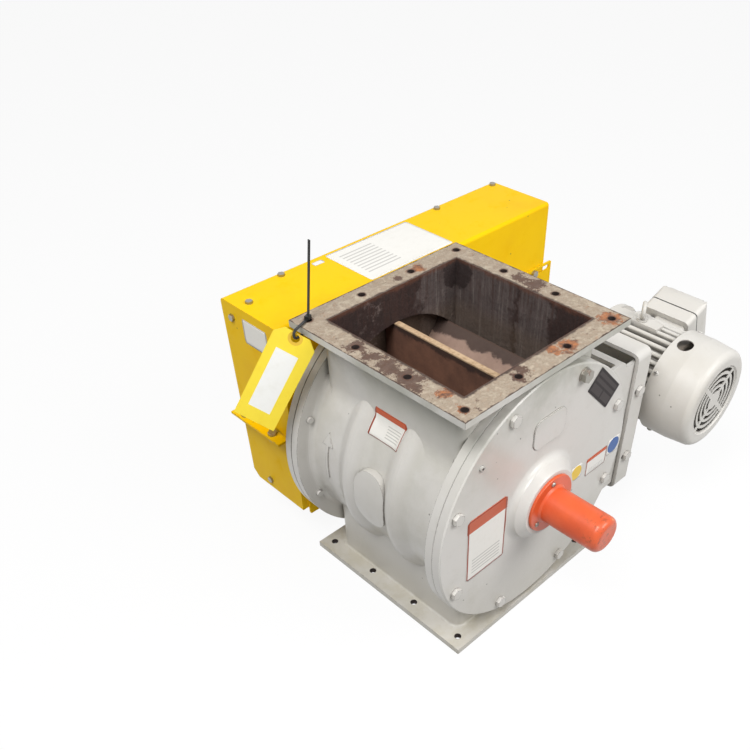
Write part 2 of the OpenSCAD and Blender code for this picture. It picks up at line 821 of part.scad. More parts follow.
module guard_upper() {
    color(paint_guard) {
        difference() {
            yz_plate(guard_x0, guard_x1) intersection() {
                upper_section(0);
                translate([guard_y, axis_z]) square([guard_l, guard_up]);
            }
            yz_plate(guard_x0 + sheet_t, guard_x1 - sheet_t) upper_section(sheet_t);
            guard_shaft_slots();
            bar_y(4.2, guard_y - 1, guard_y + sheet_t + 1, clamp_x, clamp_z);
            for (p = top_screws) bar_z(3.2, guard_z1 - sheet_t - 1, guard_z1 + 1, p[0], p[1]);
            bar_x(3.2, guard_x0 - 1, guard_x0 + sheet_t + 1, end_screws[0][0], end_screws[0][1]);
        }
        guard_lips(axis_z);
    }
}

module guard_lower() {
    color(paint_guard) {
        difference() {
            yz_plate(guard_x0, guard_x1) intersection() {
                lower_section(0);
                translate([guard_y, guard_z0]) square([guard_l, guard_down]);
            }
            yz_plate(guard_x0 + sheet_t, guard_x1 - sheet_t) lower_section(sheet_t);
            guard_shaft_slots();
            bar_x(3.2, guard_x0 - 1, guard_x0 + sheet_t + 1, end_screws[1][0], end_screws[1][1]);
        }
        guard_lips(axis_z - sheet_t);
    }
}

// Bolts with nuts that hold the two halves of the guard together.
module guard_lip_bolts() {
    color(steel) for (x = [guard_x0 - lip_w / 2, guard_x1 + lip_w / 2], y = lip_bolt_y)
        translate([x, y, axis_z + sheet_t]) {
            hex_bolt(13, 5.3, 8, 2 * sheet_t + 9);
            translate([0, 0, -2 * sheet_t - 6.5]) hex(13, 6.5);
        }
}

// Screw with a washer-like head and a nut behind the sheet.
module sheet_screw() {
    hex_bolt(10, 4, 6, sheet_t + 7);
    translate([0, 0, -sheet_t - 5]) hex(10, 5);
}

module guard_screws() {
    color(steel) {
        for (p = top_screws) translate([p[0], p[1], guard_z1]) sheet_screw();
        for (p = end_screws)
            translate([guard_x0, p[0], p[1]]) rotate([0, -90, 0]) sheet_screw();
    }
}

module guard_clamp_bolt() {
    color(steel) translate([clamp_x, boss_y, clamp_z]) rotate([90, 0, 0]) {
        hex_bolt(13, 5.3, 8, back_t + sheet_t + 9);
        translate([0, 0, -back_t - sheet_t - 6.5]) hex(13, 6.5);
    }
}

// ---- motor bracket ---------------------------------------------------------

bracket_bend = 6;
inner_z1 = bracket_z1;
inner_z0 = bracket_z0 + bracket_t + bracket_bend;
tab_x1 = foot_x - bracket_t - 2;
notch_r = 13;
notch_x = inner_x - 2 + notch_r;

// The bracket's side tab, stepped down beyond the wall with a rounded corner.
module tab_outline() {
    difference() {
        translate([end_r - 45, inner_z0]) square([tab_x1 - end_r + 45, inner_z1 - inner_z0]);
        translate([0, axis_z]) circle(r = end_r + bracket_gap - 0.5);
        translate([notch_x, inner_z1]) circle(r = notch_r);
        translate([notch_x, inner_z1 - notch_r]) square([tab_x1, 2 * notch_r]);
    }
}

// The bracket's wall with its top bent over towards the valve.
module inner_outline() {
    bend = bracket_bend + bracket_t;
    mid = [inner_x + bracket_t - bend, inner_z1 - bend];
    polygon(concat([[inner_x, inner_z0]],
        [for (i = [0 : 6]) let (a = i * 15) mid + bracket_bend * [cos(a), sin(a)]],
        [[inner_x - 16, inner_z1 - bracket_t], [inner_x - 16, inner_z1]],
        [for (i = [6 : -1 : 0]) let (a = i * 15) mid + bend * [cos(a), sin(a)]],
        [[inner_x + bracket_t, inner_z0]]));
}

module bracket_inner() {
    t = bracket_t;
    color(paint_body) difference() {
        union() {
            xz_plate(-tab_y, tab_y) inner_outline();
            xz_plate(-tab_y, t - tab_y) tab_outline();
            xz_plate(tab_y - t, tab_y) tab_outline();
        }
        for (z = adjust_z) bar_y(5.2, -face_y, face_y, adjust_x, z);
        for (s = [-1, 1], k = [-1, 1])
            bar_x(5.5, inner_x - 1, inner_x + t + 1, s * pad_y, axis_z + k * pad_z);
    }
}

foot_bolt_y = [case_y - 122, case_y - 36];
foot_bolt_z = 79;
case_foot_h = foot_bolt_z + 13;

module bracket_outer() {
    t = bracket_t;
    color(paint_body) difference() {
        yz_plate(outer_x0, foot_x)
            round_rect([-bracket_y, bracket_z0], [bracket_y, bracket_z1], bracket_bend + t);
        yz_plate(outer_x0 - 1, foot_x - t)
            round_rect([t - bracket_y, bracket_z0 + t], [bracket_y - t, bracket_z1 - t], bracket_bend);
        for (z = adjust_z) xz_plate(-bracket_y - 1, bracket_y + 1)
            slot(adjust_x - 5, adjust_x + 5, z, 11);
        for (y = foot_bolt_y, k = [-1, 1])
            bar_x(5.5, foot_x - t - 1, foot_x + 1, y, axis_z + k * foot_bolt_z);
    }
}

module bracket_wall_bolts() {
    color(steel) for (s = [-1, 1], k = [-1, 1])
        translate([inner_x + bracket_t, s * pad_y, axis_z + k * pad_z]) rotate([0, 90, 0])
            hex_bolt(17, 6.4, 10, 24);
}

module bracket_adjust_bolts() {
    t = bracket_t;
    color(paint_body) for (s = [-1, 1], z = adjust_z)
        translate([adjust_x, s * bracket_y, z]) rotate([-90 * s, 0, 0]) {
            hex_bolt(16, 6.4, 10, 2 * t + 10);
            translate([0, 0, -2 * t - 8.5]) hex(16, 8);
        }
}

// ---- gearmotor -------------------------------------------------------------

case_foot_t = 14;
case_x0 = foot_x + case_foot_t;
case_x1 = drive_x + 76;
case_r = 65;
case_corner = 42;
case_rim = 5;
case_rib = 6;

// The gear case's section, widest round the output shaft, as [x, z].
module case_outline(grow) {
    round_rect([case_x0 - grow, axis_z - case_r - grow],
        [case_x1 + grow, axis_z + case_r + grow], case_corner + grow);
}

module gear_case() {
    color(paint_motor) difference() {
        union() {
            xz_plate(adapter_y, case_y) case_outline(0);
            for (y = [adapter_y, 60, case_y - 10])
                xz_plate(y, y + 10) case_outline(case_rim);
            xz_plate(adapter_y + 10, case_y - 10) {
                for (z = [-36, 0, 36])
                    translate([case_x0, axis_z + z - case_rib / 2])
                        square([case_x1 - case_x0 + case_rim, case_rib]);
                for (x = [-30, 0, 30])
                    translate([drive_x + x - case_rib / 2, axis_z - case_r - case_rim])
                        square([case_rib, 2 * (case_r + case_rim)]);
            }
            yz_plate(foot_x, case_x0) round_rect([case_y - 144, axis_z - case_foot_h],
                [case_y - 8, axis_z + case_foot_h], 8);
        }
        bar_y(output_d / 2 + run_gap, 80, case_y + 1, drive_x);
        for (y = foot_bolt_y, k = [-1, 1])
            bar_x(5.5, foot_x - 1, case_x0 + 1, y, axis_z + k * foot_bolt_z);
        for (y = foot_bolt_y, k = [-1, 1])
            bar_x(11, case_x0, case_x0 + 30, y, axis_z + k * foot_bolt_z);
    }
}

cover_bolt_r = 54;
cover_rim_r = cover_bolt_r + 8;
cover_rim_t = 9;

module gear_case_cover() {
    color(paint_motor) difference() {
        translate([drive_x, case_y, axis_z]) rotate([-90, 0, 0]) rotate_extrude()
            polygon([[output_d / 2 + 1, 0], [cover_rim_r, 0], [cover_rim_r, cover_rim_t - 1],
                [cover_rim_r - 1, cover_rim_t], [nose_r + 5, cover_rim_t],
                [nose_r, 14], [nose_r, boss_y - case_y - 5], [nose_r - 2, boss_y - case_y - 3],
                [output_d / 2 + 9, boss_y - case_y - 3], [output_d / 2 + 9, boss_y - case_y - 11],
                [output_d / 2 + 1, boss_y - case_y - 11]]);
        on_circle(cover_bolt_r, ring_angles(6, 30), case_y - 1, 1, drive_x)
            cylinder(d = 6.6, h = 12);
    }
}

module gear_case_bolts() {
    color(steel) on_circle(cover_bolt_r, ring_angles(6, 30), case_y + cover_rim_t, 1, drive_x)
        hex_bolt(10, 4, 6, 9);
}

module output_seal() {
    color("dimgray") translate([drive_x, boss_y - 11, axis_z]) rotate([-90, 0, 0])
        rotate_extrude() polygon([[output_d / 2 + run_gap, 2], [output_d / 2 + 2, 0],
            [output_d / 2 + 9, 0], [output_d / 2 + 9, 7], [output_d / 2 + 2, 7],
            [output_d / 2 + run_gap, 5]]);
}

module output_shaft() {
    end_y = drive_hub_y0 + drive_hub_l + 6;
    color("silver") difference() {
        bar_y(output_d / 2, 84, end_y, drive_x);
        translate([drive_x - key_w / 2, drive_hub_y0, axis_z + output_d / 2 - key_h - 0.5])
            cube([key_w, end_y, key_h + 1]);
    }
}

module foot_bolts() {
    color(steel) for (y = foot_bolt_y, k = [-1, 1])
        translate([case_x0, y, axis_z + k * foot_bolt_z]) rotate([0, 90, 0]) {
            hex_bolt(16, 6.4, 10, case_foot_t + bracket_t + 11);
            translate([0, 0, -case_foot_t - bracket_t - 8]) hex(16, 8);
        }
}

adapter_r = frame_d / 2 + 2;
core_r = frame_d / 2 - fin_h;
motor_bolt_r = core_r - 7;
motor_bolt_first = 13;
stator_r = core_r - 15;
rotor_core_r = 30;
air_gap = 0.5;
core_l = 52;
fin_t = 7;
pad_half = 11;
pad_h = fin_h + 2;

// Ribs round a cylinder, drawn in the X-Z plane: thin bars with round tips.
module ribs_outline(r, tip_r, w, angles) {
    for (a = angles) rotate(a) {
        translate([r - 3, -w / 2]) square([tip_r - w / 2 - r + 3, w]);
        translate([tip_r - w / 2, 0]) circle(d = w, $fn = 24);
    }
}

// Flat pad along the motor's top.
module top_pad(y0, y1) {
    translate([motor_x - pad_half, y0, axis_z + core_r - 4])
        cube([2 * pad_half, y1 - y0, pad_h + 4]);
}

// Bell between the motor and the gear case, stiffened by ribs along the shaft.
module motor_adapter() {
    color(paint_motor) difference() {
        union() {
            bar_y(adapter_r, adapter_y - 10, adapter_y, motor_x);
            bar_y(core_r + 2, frame_y, adapter_y - 5, motor_x);
            bar_y(frame_d / 2 + 2, frame_y, frame_y + 9, motor_x);
            xz_plate(frame_y + 5, adapter_y - 5) translate([motor_x, axis_z])
                ribs_outline(core_r + 2, frame_d / 2 - 1, 6, ring_angles(12, 15));
            top_pad(frame_y, adapter_y - 10);
        }
        bar_y(motor_shaft_d / 2 + 3, frame_y - 1, adapter_y - 8, motor_x);
        on_circle(motor_bolt_r, ring_angles(4, motor_bolt_first), frame_y - 1, 1, motor_x)
            cylinder(d = 8, h = 19);
    }
}

// Four bolts hold the adapter to the frame, and four hold the end bell.
module motor_bolts() {
    color(steel) {
        on_circle(motor_bolt_r, ring_angles(4, motor_bolt_first), frame_y + 14, 1, motor_x)
            translate([0, 0, -24]) cylinder(d = 8, h = 28);
        on_circle(motor_bolt_r, ring_angles(4, motor_bolt_first), bell_y, -1, motor_x)
            hex_bolt(13, 5.3, 8, 26);
    }
}

// True within w degrees of direction a.
function near(a, b, w) = abs((a - b + 540) % 360 - 180) < w;

module motor_frame() {
    fins = [for (a = ring_angles(fin_count, 5)) if (!near(a, box_tilt, 34)) a];
    color(paint_motor) difference() {
        union() {
            bar_y(core_r, frame_end_y, frame_y, motor_x);
            xz_plate(frame_end_y + 2, frame_y) translate([motor_x, axis_z])
                ribs_outline(core_r, frame_d / 2, fin_t, fins);
            top_pad(frame_y - 52, frame_y);
            at_box() yz_plate(core_r - 12, box_x0)
                round_rect([box_y0 + 6, -34], [frame_y - 1, 34], 6);
        }
        bar_y(stator_r, frame_end_y + 8, frame_y - 8, motor_x);
        bar_y(motor_shaft_d / 2 + run_gap, frame_end_y - 1, frame_y + 1, motor_x);
        on_circle(motor_bolt_r, ring_angles(4, motor_bolt_first), frame_y - 10, 1, motor_x)
            cylinder(d = 8, h = 11);
        on_circle(motor_bolt_r, ring_angles(4, motor_bolt_first), frame_end_y - 1, 1, motor_x)
            cylinder(d = 8, h = 12);
        bar_z(4, axis_z + frame_d / 2 - 10, axis_z + frame_d, motor_x, eye_y);
    }
}

// Laminated core with the end windings.
module motor_stator() {
    mid = (frame_y + frame_end_y) / 2;
    r0 = rotor_core_r + air_gap;
    color([0.5, 0.28, 0.16]) spin(motor_x) polygon([[r0, mid - core_l / 2],
        [r0 + 3, mid - core_l / 2 - 8], [stator_r - 5, mid - core_l / 2 - 8],
        [stator_r - 4, mid - core_l / 2], [stator_r, mid - core_l / 2],
        [stator_r, mid + core_l / 2], [stator_r - 4, mid + core_l / 2],
        [stator_r - 5, mid + core_l / 2 + 8], [r0 + 3, mid + core_l / 2 + 8],
        [r0, mid + core_l / 2]]);
}

module motor_rotor_core() {
    mid = (frame_y + frame_end_y) / 2;
    color("gray") spin(motor_x) polygon([[motor_shaft_d / 2, mid - core_l / 2],
        [rotor_core_r, mid - core_l / 2], [rotor_core_r, mid + core_l / 2],
        [motor_shaft_d / 2, mid + core_l / 2]]);
}

bell_y = frame_end_y - 16;

module motor_end_bell() {
    color(paint_motor) difference() {
        spin(motor_x) polygon([[motor_shaft_d / 2 + run_gap, frame_end_y],
            [core_r + 3, frame_end_y], [core_r + 3, bell_y + 2], [core_r + 1, bell_y],
            [core_r - 16, bell_y], [26, bell_y - 4], [20, bell_y - 7],
            [motor_shaft_d / 2 + run_gap, bell_y - 7]]);
        for (a = fan_screw_angles)
            translate([motor_x, fan_screw_y, axis_z]) rotate([0, -a, 0])
                bar_x(2.5, core_r - 8, core_r + 6, 0, 0);
        on_circle(motor_bolt_r, ring_angles(4, motor_bolt_first), bell_y - 1, 1, motor_x)
            cylinder(d = 8, h = 20);
    }
}

module motor_shaft() {
    color("silver") bar_y(motor_shaft_d / 2, frame_end_y - 52, adapter_y - 9, motor_x);
}

fan_y = bell_y - 15;
fan_w = 22;
fan_r = 66;
fan_hub_r = motor_shaft_d / 2 + 7;
blade_t = 3;

// Radial fan: a hub, a disc and eight straight blades.
module cooling_fan() {
    color([0.2, 0.2, 0.2]) difference() {
        union() {
            bar_y(fan_hub_r, fan_y - fan_w + 4, fan_y, motor_x);
            bar_y(fan_r - 26, fan_y - blade_t, fan_y, motor_x);
            intersection() {
                bar_y(fan_r, fan_y - fan_w, fan_y, motor_x);
                for (a = ring_angles(8, 10))
                    translate([motor_x, 0, axis_z]) rotate([0, -a, 0])
                        translate([fan_hub_r - blade_t, fan_y - fan_w, -blade_t / 2])
                            cube([fan_r, fan_w, blade_t]);
            }
        }
        bar_y(motor_shaft_d / 2, fan_y - 2 * fan_w, fan_y + 1, motor_x);
    }
}

fan_screw_angles = ring_angles(4, 54.5);
fan_screw_y = frame_end_y - 8;
cover_sheet = 1.6;
access_r = 13;
grille_r = 60;
grille_dip = 2.5;
grille_slot = 6;

// Ring slots of the air inlet, broken by four spokes.
module grille_slots() {
    difference() {
        for (r = [17 : 11.5 : grille_r - grille_slot]) difference() {
            circle(r = r + grille_slot);
            circle(r = r);
        }
        for (a = [45, 135]) rotate(a) translate([-grille_r, -4]) square([2 * grille_r, 8]);
    }
}

module fan_cover() {
    r = fan_cover_d / 2;
    t = cover_sheet;
    y0 = frame_end_y;
    y1 = fan_cover_end_y;
    q = 13;
    color(paint_motor) difference() {
        spin(motor_x) polygon(concat([[r - t, y0], [r, y0], [r, y0 - 40]],
            [for (i = [0 : 6]) let (a = i * 15)
                [r - 3 - q + q * cos(a), y1 + q - q * sin(a)]],
            [[grille_r + 2, y1], [grille_r, y1 + grille_dip], [0, y1 + grille_dip],
                [0, y1 + grille_dip + t], [grille_r + 2, y1 + grille_dip + t]],
            [for (i = [6 : -1 : 0]) let (a = i * 15)
                [r - 3 - q + (q - t) * cos(a), y1 + q - (q - t) * sin(a)]],
            [[r - t, y0 - 40]]));
        xz_plate(y1, y1 + grille_dip + t + 1)
            translate([motor_x, axis_z]) grille_slots();
        for (a = fan_screw_angles)
            translate([motor_x, fan_screw_y, axis_z]) rotate([0, -a, 0])
                bar_x(2.8, r - 8, r + 4, 0, 0);
        translate([motor_x, bell_y - 5, axis_z]) rotate([0, -motor_bolt_first - 90, 0])
            bar_x(access_r, r - 12, r + 5, 0, 0);
    }
}

module fan_cover_screws() {
    color(steel) for (a = fan_screw_angles)
        translate([motor_x, fan_screw_y, axis_z]) rotate([0, -a, 0])
            translate([fan_cover_d / 2, 0, 0]) rotate([0, 90, 0])
                cross_screw(9, 3, 5, fan_cover_d / 2 - core_r + 6);
}

// ---- conduit box and lifting eye --------------------------------------------

box_x0 = frame_d / 2 + 3;
box_d = 25;
gasket_t = 2;
lid_d = 41;
box_l = 92;
box_y0 = -112;
box_half = 45;
box_wall = 4;
entry_r = 10;

// Turns children into the conduit box's frame: x away from the motor, z across it.
module at_box() {
    translate([motor_x, 0, axis_z]) rotate([0, -box_tilt, 0]) children();
}

module box_rect(shrink) {
    round_rect([box_y0 + shrink, shrink - box_half],
        [box_y0 + box_l - shrink, box_half - shrink], 8 - shrink / 2);
}

lid_screw_points = [for (y = [box_y0 + 9, box_y0 + box_l - 9], z = [9 - box_half, box_half - 9])
    [y, z]];

module conduit_box() {
    color(paint_motor) at_box() difference() {
        union() {
            difference() {
                yz_plate(box_x0, box_x0 + box_d) box_rect(0);
                yz_plate(box_x0 + box_wall, box_x0 + box_d + 1) box_rect(box_wall);
            }
            for (p = lid_screw_points) bar_x(6.5, box_x0 + 1, box_x0 + box_d, p[0], p[1]);
        }
        for (p = lid_screw_points) bar_x(2.1, box_x0 + 8, box_x0 + box_d + 1, p[0], p[1]);
        translate([box_x0 + (box_wall + box_d) / 2, box_y0 + box_l / 2, -box_half - 1])
            cylinder(r = entry_r, h = box_wall + 2);
    }
}

module conduit_gasket() {
    x = box_x0 + box_d;
    color([0.1, 0.1, 0.1]) at_box() difference() {
        yz_plate(x, x + gasket_t) box_rect(0);
        yz_plate(x - 1, x + gasket_t + 1) difference() {
            box_rect(box_wall + 1);
            for (p = lid_screw_points) translate(p) circle(r = 6.5);
        }
        for (p = lid_screw_points) bar_x(2.6, x - 1, x + gasket_t + 1, p[0], p[1]);
    }
}

// Side view of the lid as [depth, distance from its middle]: its far edges are rounded off.
module lid_outline(half) {
    r = 12;
    polygon(concat([[0, -half], [lid_d - 2 * r, -half]],
        [for (i = [1 : 6]) let (a = i * 15)
            [lid_d - 2 * r + 2 * r * sin(a), r * (1 - cos(a)) - half]],
        [for (i = [6 : -1 : 1]) let (a = i * 15)
            [lid_d - 2 * r + 2 * r * sin(a), half - r * (1 - cos(a))]],
        [[lid_d - 2 * r, half], [0, half]]));
}

module conduit_lid() {
    x = box_x0 + box_d + gasket_t;
    mid = box_y0 + box_l / 2;
    inset = 18;
    color(paint_motor) at_box() difference() {
        intersection() {
            yz_plate(x, x + lid_d) box_rect(0);
            translate([x, mid, -box_l]) linear_extrude(2 * box_l) lid_outline(box_l / 2);
            translate([x, mid, 0]) xz_plate(-box_l, box_l) lid_outline(box_half);
        }
        translate([x, mid, 0]) yz_plate(-1, lid_d - 4)
            round_rect([inset - box_l / 2, inset - box_half],
                [box_l / 2 - inset, box_half - inset], 4);
        for (p = lid_screw_points) {
            bar_x(2.6, x - 1, x + lid_d + 1, p[0], p[1]);
            bar_x(5, x + 8, x + lid_d + 1, p[0], p[1]);
        }
    }
}

module conduit_lid_screws() {
    x = box_x0 + box_d + gasket_t + 8;
    color(steel) at_box() for (p = lid_screw_points)
        translate([x, p[0], p[1]]) rotate([0, 90, 0]) cross_screw(8, 3, 4, gasket_t + 24);
}

eye_y = frame_y - 16;
eye_turn = 30;

module lifting_eye() {
    z0 = axis_z + frame_d / 2 + 2;
    color(paint_motor) {
        bar_z(9, z0, z0 + 4, motor_x, eye_y);
        bar_z(4, z0 - 12, z0 + 6, motor_x, eye_y);
        translate([motor_x, eye_y, z0 + 18]) rotate([90, 0, eye_turn]) rotate_extrude()
            translate([12, 0]) circle(r = 3.6, $fn = 32);
    }
}

// ---- identification tag -----------------------------------------------------

tie_r = 1.3;
tie_w = 4;
tag_t = 0.8;
tag_top = 7.5;
tie_hole = [-1.5 * hole_pitch, 1.5 * hole_pitch, height];
tag_hole = tie_hole + [-35, -15, -7];
tie_run = [tag_hole[0] - tie_hole[0], tag_hole[1] - tie_hole[1]];
tie_turn = atan2(tie_run[1], tie_run[0]);
tie_reach = norm(tie_run);

// A stiff tag that leans away from the corner it is tied to.
module identification_tag() {
    color([1, 0.93, 0.3]) translate(tag_hole) rotate([104, -29, 127])
        linear_extrude(tag_t, center = true) difference() {
            polygon([[12 - tag_w / 2, tag_top], [tag_w / 2 - 12, tag_top], [tag_w / 2, tag_top - 12],
                [tag_w / 2, tag_top - tag_l], [-tag_w / 2, tag_top - tag_l],
                [-tag_w / 2, tag_top - 12]]);
            circle(r = 6);
        }
}

// The tie's loop, as [distance from the hole, height above the flange].
module tie_loop(t) {
    polygon([[-2 - t, 3 + t], [tie_reach - 3, 5 + t], [tie_reach + 3 + t, 2],
        [tie_reach + 3 + t, -5], [tie_reach + 1 + t, -8 - t],
        [tie_reach - 16, -flange_t - 2 - t], [1, -flange_t - 3 - t],
        [-2 - t, -flange_t - 1]]);
}

module cable_tie() {
    color([0.1, 0.1, 0.1]) {
        translate(tie_hole) rotate([90, 0, tie_turn]) linear_extrude(tie_w, center = true)
            difference() {
                tie_loop(0);
                tie_loop(-1.3);
            }
        translate(tie_hole) rotate(tie_turn) translate([-4, -3.5, 2]) cube([8, 7, 5]);
        translate(tie_hole) rotate([0, 8.5, 0]) translate([-0.7, -tie_w / 2, 4])
            cube([1.3, tie_w, tail_l]);
    }
}

// ---- drawing -------------------------------------------------------------

housing();
end_plate(-1);  // end_plate_outboard
end_plate(1);  // end_plate_drive
end_plate_bolts();
replaced_bolt();
jacking_screws();
shaft_seal(-1);  // shaft_seal_outboard
shaft_seal(1);  // shaft_seal_drive
bearing_outer(-1);  // bearing_outer_outboard
bearing_outer(1);  // bearing_outer_drive
bearing_balls();
bearing_cages();
retaining_rings();
shaft_cover();
shaft_cover_screws();
nameplate();
rotor_shaft();
rotor_hub();
rotor_vanes();
bearing_inner(-1);  // bearing_inner_outboard
bearing_inner(1);  // bearing_inner_drive
driven_sprocket();
driven_key();
drive_chain();
drive_sprocket();
drive_key();
output_shaft();
output_seal();
guard_back_plate();
guard_back_screws();
guard_upper();
guard_lower();
guard_lip_bolts();
guard_screws();
guard_clamp_bolt();
bracket_inner();
bracket_outer();
bracket_wall_bolts();
bracket_adjust_bolts();
gear_case();
gear_case_cover();
gear_case_bolts();
foot_bolts();
motor_adapter();
motor_bolts();
motor_frame();
motor_stator();
motor_end_bell();
motor_shaft();
motor_rotor_core();
cooling_fan();
fan_cover();
fan_cover_screws();
conduit_box();
conduit_gasket();
conduit_lid();
conduit_lid_screws();
lifting_eye();
identification_tag();
cable_tie();
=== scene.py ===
"""Looks of the rotary airlock valve: finishes, labels, floor, light and camera."""

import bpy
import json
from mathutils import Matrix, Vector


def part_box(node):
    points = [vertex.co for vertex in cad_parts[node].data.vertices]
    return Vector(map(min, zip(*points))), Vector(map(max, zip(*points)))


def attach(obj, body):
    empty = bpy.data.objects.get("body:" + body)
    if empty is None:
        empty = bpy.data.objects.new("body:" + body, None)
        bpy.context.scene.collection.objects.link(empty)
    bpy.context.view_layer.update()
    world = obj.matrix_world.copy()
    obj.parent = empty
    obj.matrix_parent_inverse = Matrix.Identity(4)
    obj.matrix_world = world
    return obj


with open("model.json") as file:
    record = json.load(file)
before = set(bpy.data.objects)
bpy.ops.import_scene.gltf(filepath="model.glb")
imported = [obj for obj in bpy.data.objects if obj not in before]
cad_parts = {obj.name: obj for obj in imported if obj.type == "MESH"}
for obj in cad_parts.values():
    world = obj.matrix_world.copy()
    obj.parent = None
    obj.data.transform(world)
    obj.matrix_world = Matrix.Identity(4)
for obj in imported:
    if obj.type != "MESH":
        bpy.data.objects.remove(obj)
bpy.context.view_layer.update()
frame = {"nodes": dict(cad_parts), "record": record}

import json
import math

import bmesh
import bpy
from mathutils import Matrix, Vector
from mathutils.bvhtree import BVHTree

NODES = frame["nodes"]
MOUNTS = {mount["name"]: mount["dims"] for mount in frame["record"]["mounts"]}

# The camera sees white surroundings and a white floor. AMBIENT is the share of the
# surroundings' light that reaches the object, and FLOOR_GLOW the share of the floor's white
# that its shadow leaves alone.
AMBIENT = 0.225
FLOOR_GLOW = 0.92

# Sizes in metres. The rotor's axis runs along y at half the height.
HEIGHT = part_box("housing")[1].z
AXIS_Z = HEIGHT / 2
FLANGE_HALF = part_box("housing")[1].y
FLANGE_T = 0.010
PLATE_FACE_Y = -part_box("end_plate_outboard")[1].y
HOLES = MOUNTS["inlet_corner_bolts"]["spacing_x_mm"] / 2000
HOLE_R = MOUNTS["inlet_corner_bolts"]["hole_r_mm"] / 1000
HOLE_PITCH = HOLES * 2 / 3
OPENING = 0.127     # half the side of the square throat
BORE = 0.164        # radius of the rotor's bore
BARREL_R = 0.177    # radius of the barrel between its ribs
RIB_R = 0.1885      # radius of the ribs' crests
FIN_R = 0.082       # radius of the motor frame's fins

# The tag's hole, and the tag's turn about x, y and z in degrees.
TAG_HOLE = (-HOLES - 0.035, HOLES - 0.015, HEIGHT - 0.007)
TAG_TURN = (104, -29, 127)

# Stickers: size of a mesh cell, thickness, and how far they lie off the surface.
LABEL_CELL = 0.004
LABEL_T = 0.0002
LABEL_LIFT = 0.0003

# Stains on the inlet flange, each with its x, y, z and radius.
BROWN_SPOTS = [(-HOLES, 0.049, HEIGHT, 0.017), (-HOLES, 0.015, HEIGHT, 0.020),
               (-HOLES, -0.015, HEIGHT, 0.026), (-HOLES, -0.049, HEIGHT, 0.024),
               (-HOLES - 0.012, -0.070, HEIGHT, 0.018), (HOLES, 0.020, HEIGHT, 0.016),
               (HOLES, -0.010, HEIGHT, 0.022), (-0.049, -HOLES, HEIGHT, 0.014),
               (-0.035, -HOLES + 0.010, HEIGHT, 0.014), (0.020, HOLES, HEIGHT, 0.010)]
RUST_SPOTS = [(HOLES, -HOLES, HEIGHT, 0.020), (0.049, -HOLES, HEIGHT, 0.022),
              (0.030, -HOLES + 0.006, HEIGHT, 0.016), (0.062, HOLES, HEIGHT, 0.014),
              (-HOLES + 0.008, -0.105, HEIGHT, 0.014), (-HOLES, -HOLES, HEIGHT, 0.010)]


def rgb(red, green, blue):
    """Linear colour from the 0 to 255 values of a colour chart."""
    def linear(value):
        value /= 255
        return value / 12.92 if value <= 0.04045 else ((value + 0.055) / 1.055) ** 2.4
    return (linear(red), linear(green), linear(blue), 1.0)


def darker(color, share):
    """The colour with its light cut to a share."""
    return tuple(value * share for value in color[:3]) + (1.0,)


# Colours of the paints, of what shows through their chips and of the dirt and painted shade in
# their crevices, and of the stickers.
BODY = rgb(217, 214, 209)
BODY_DIRT = rgb(188, 184, 172)
MOTOR = rgb(216, 213, 207)
MOTOR_DIRT = rgb(194, 187, 174)
YELLOW = rgb(252, 205, 0)
YELLOW_DIRT = rgb(232, 168, 6)
UNDERCOAT_AND_SHADE = rgb(70, 62, 55)
WHITE = rgb(240, 238, 232)
ORANGE = rgb(194, 80, 30)
LABEL_RULE = rgb(150, 62, 38)


# ---- material building ------------------------------------------------------

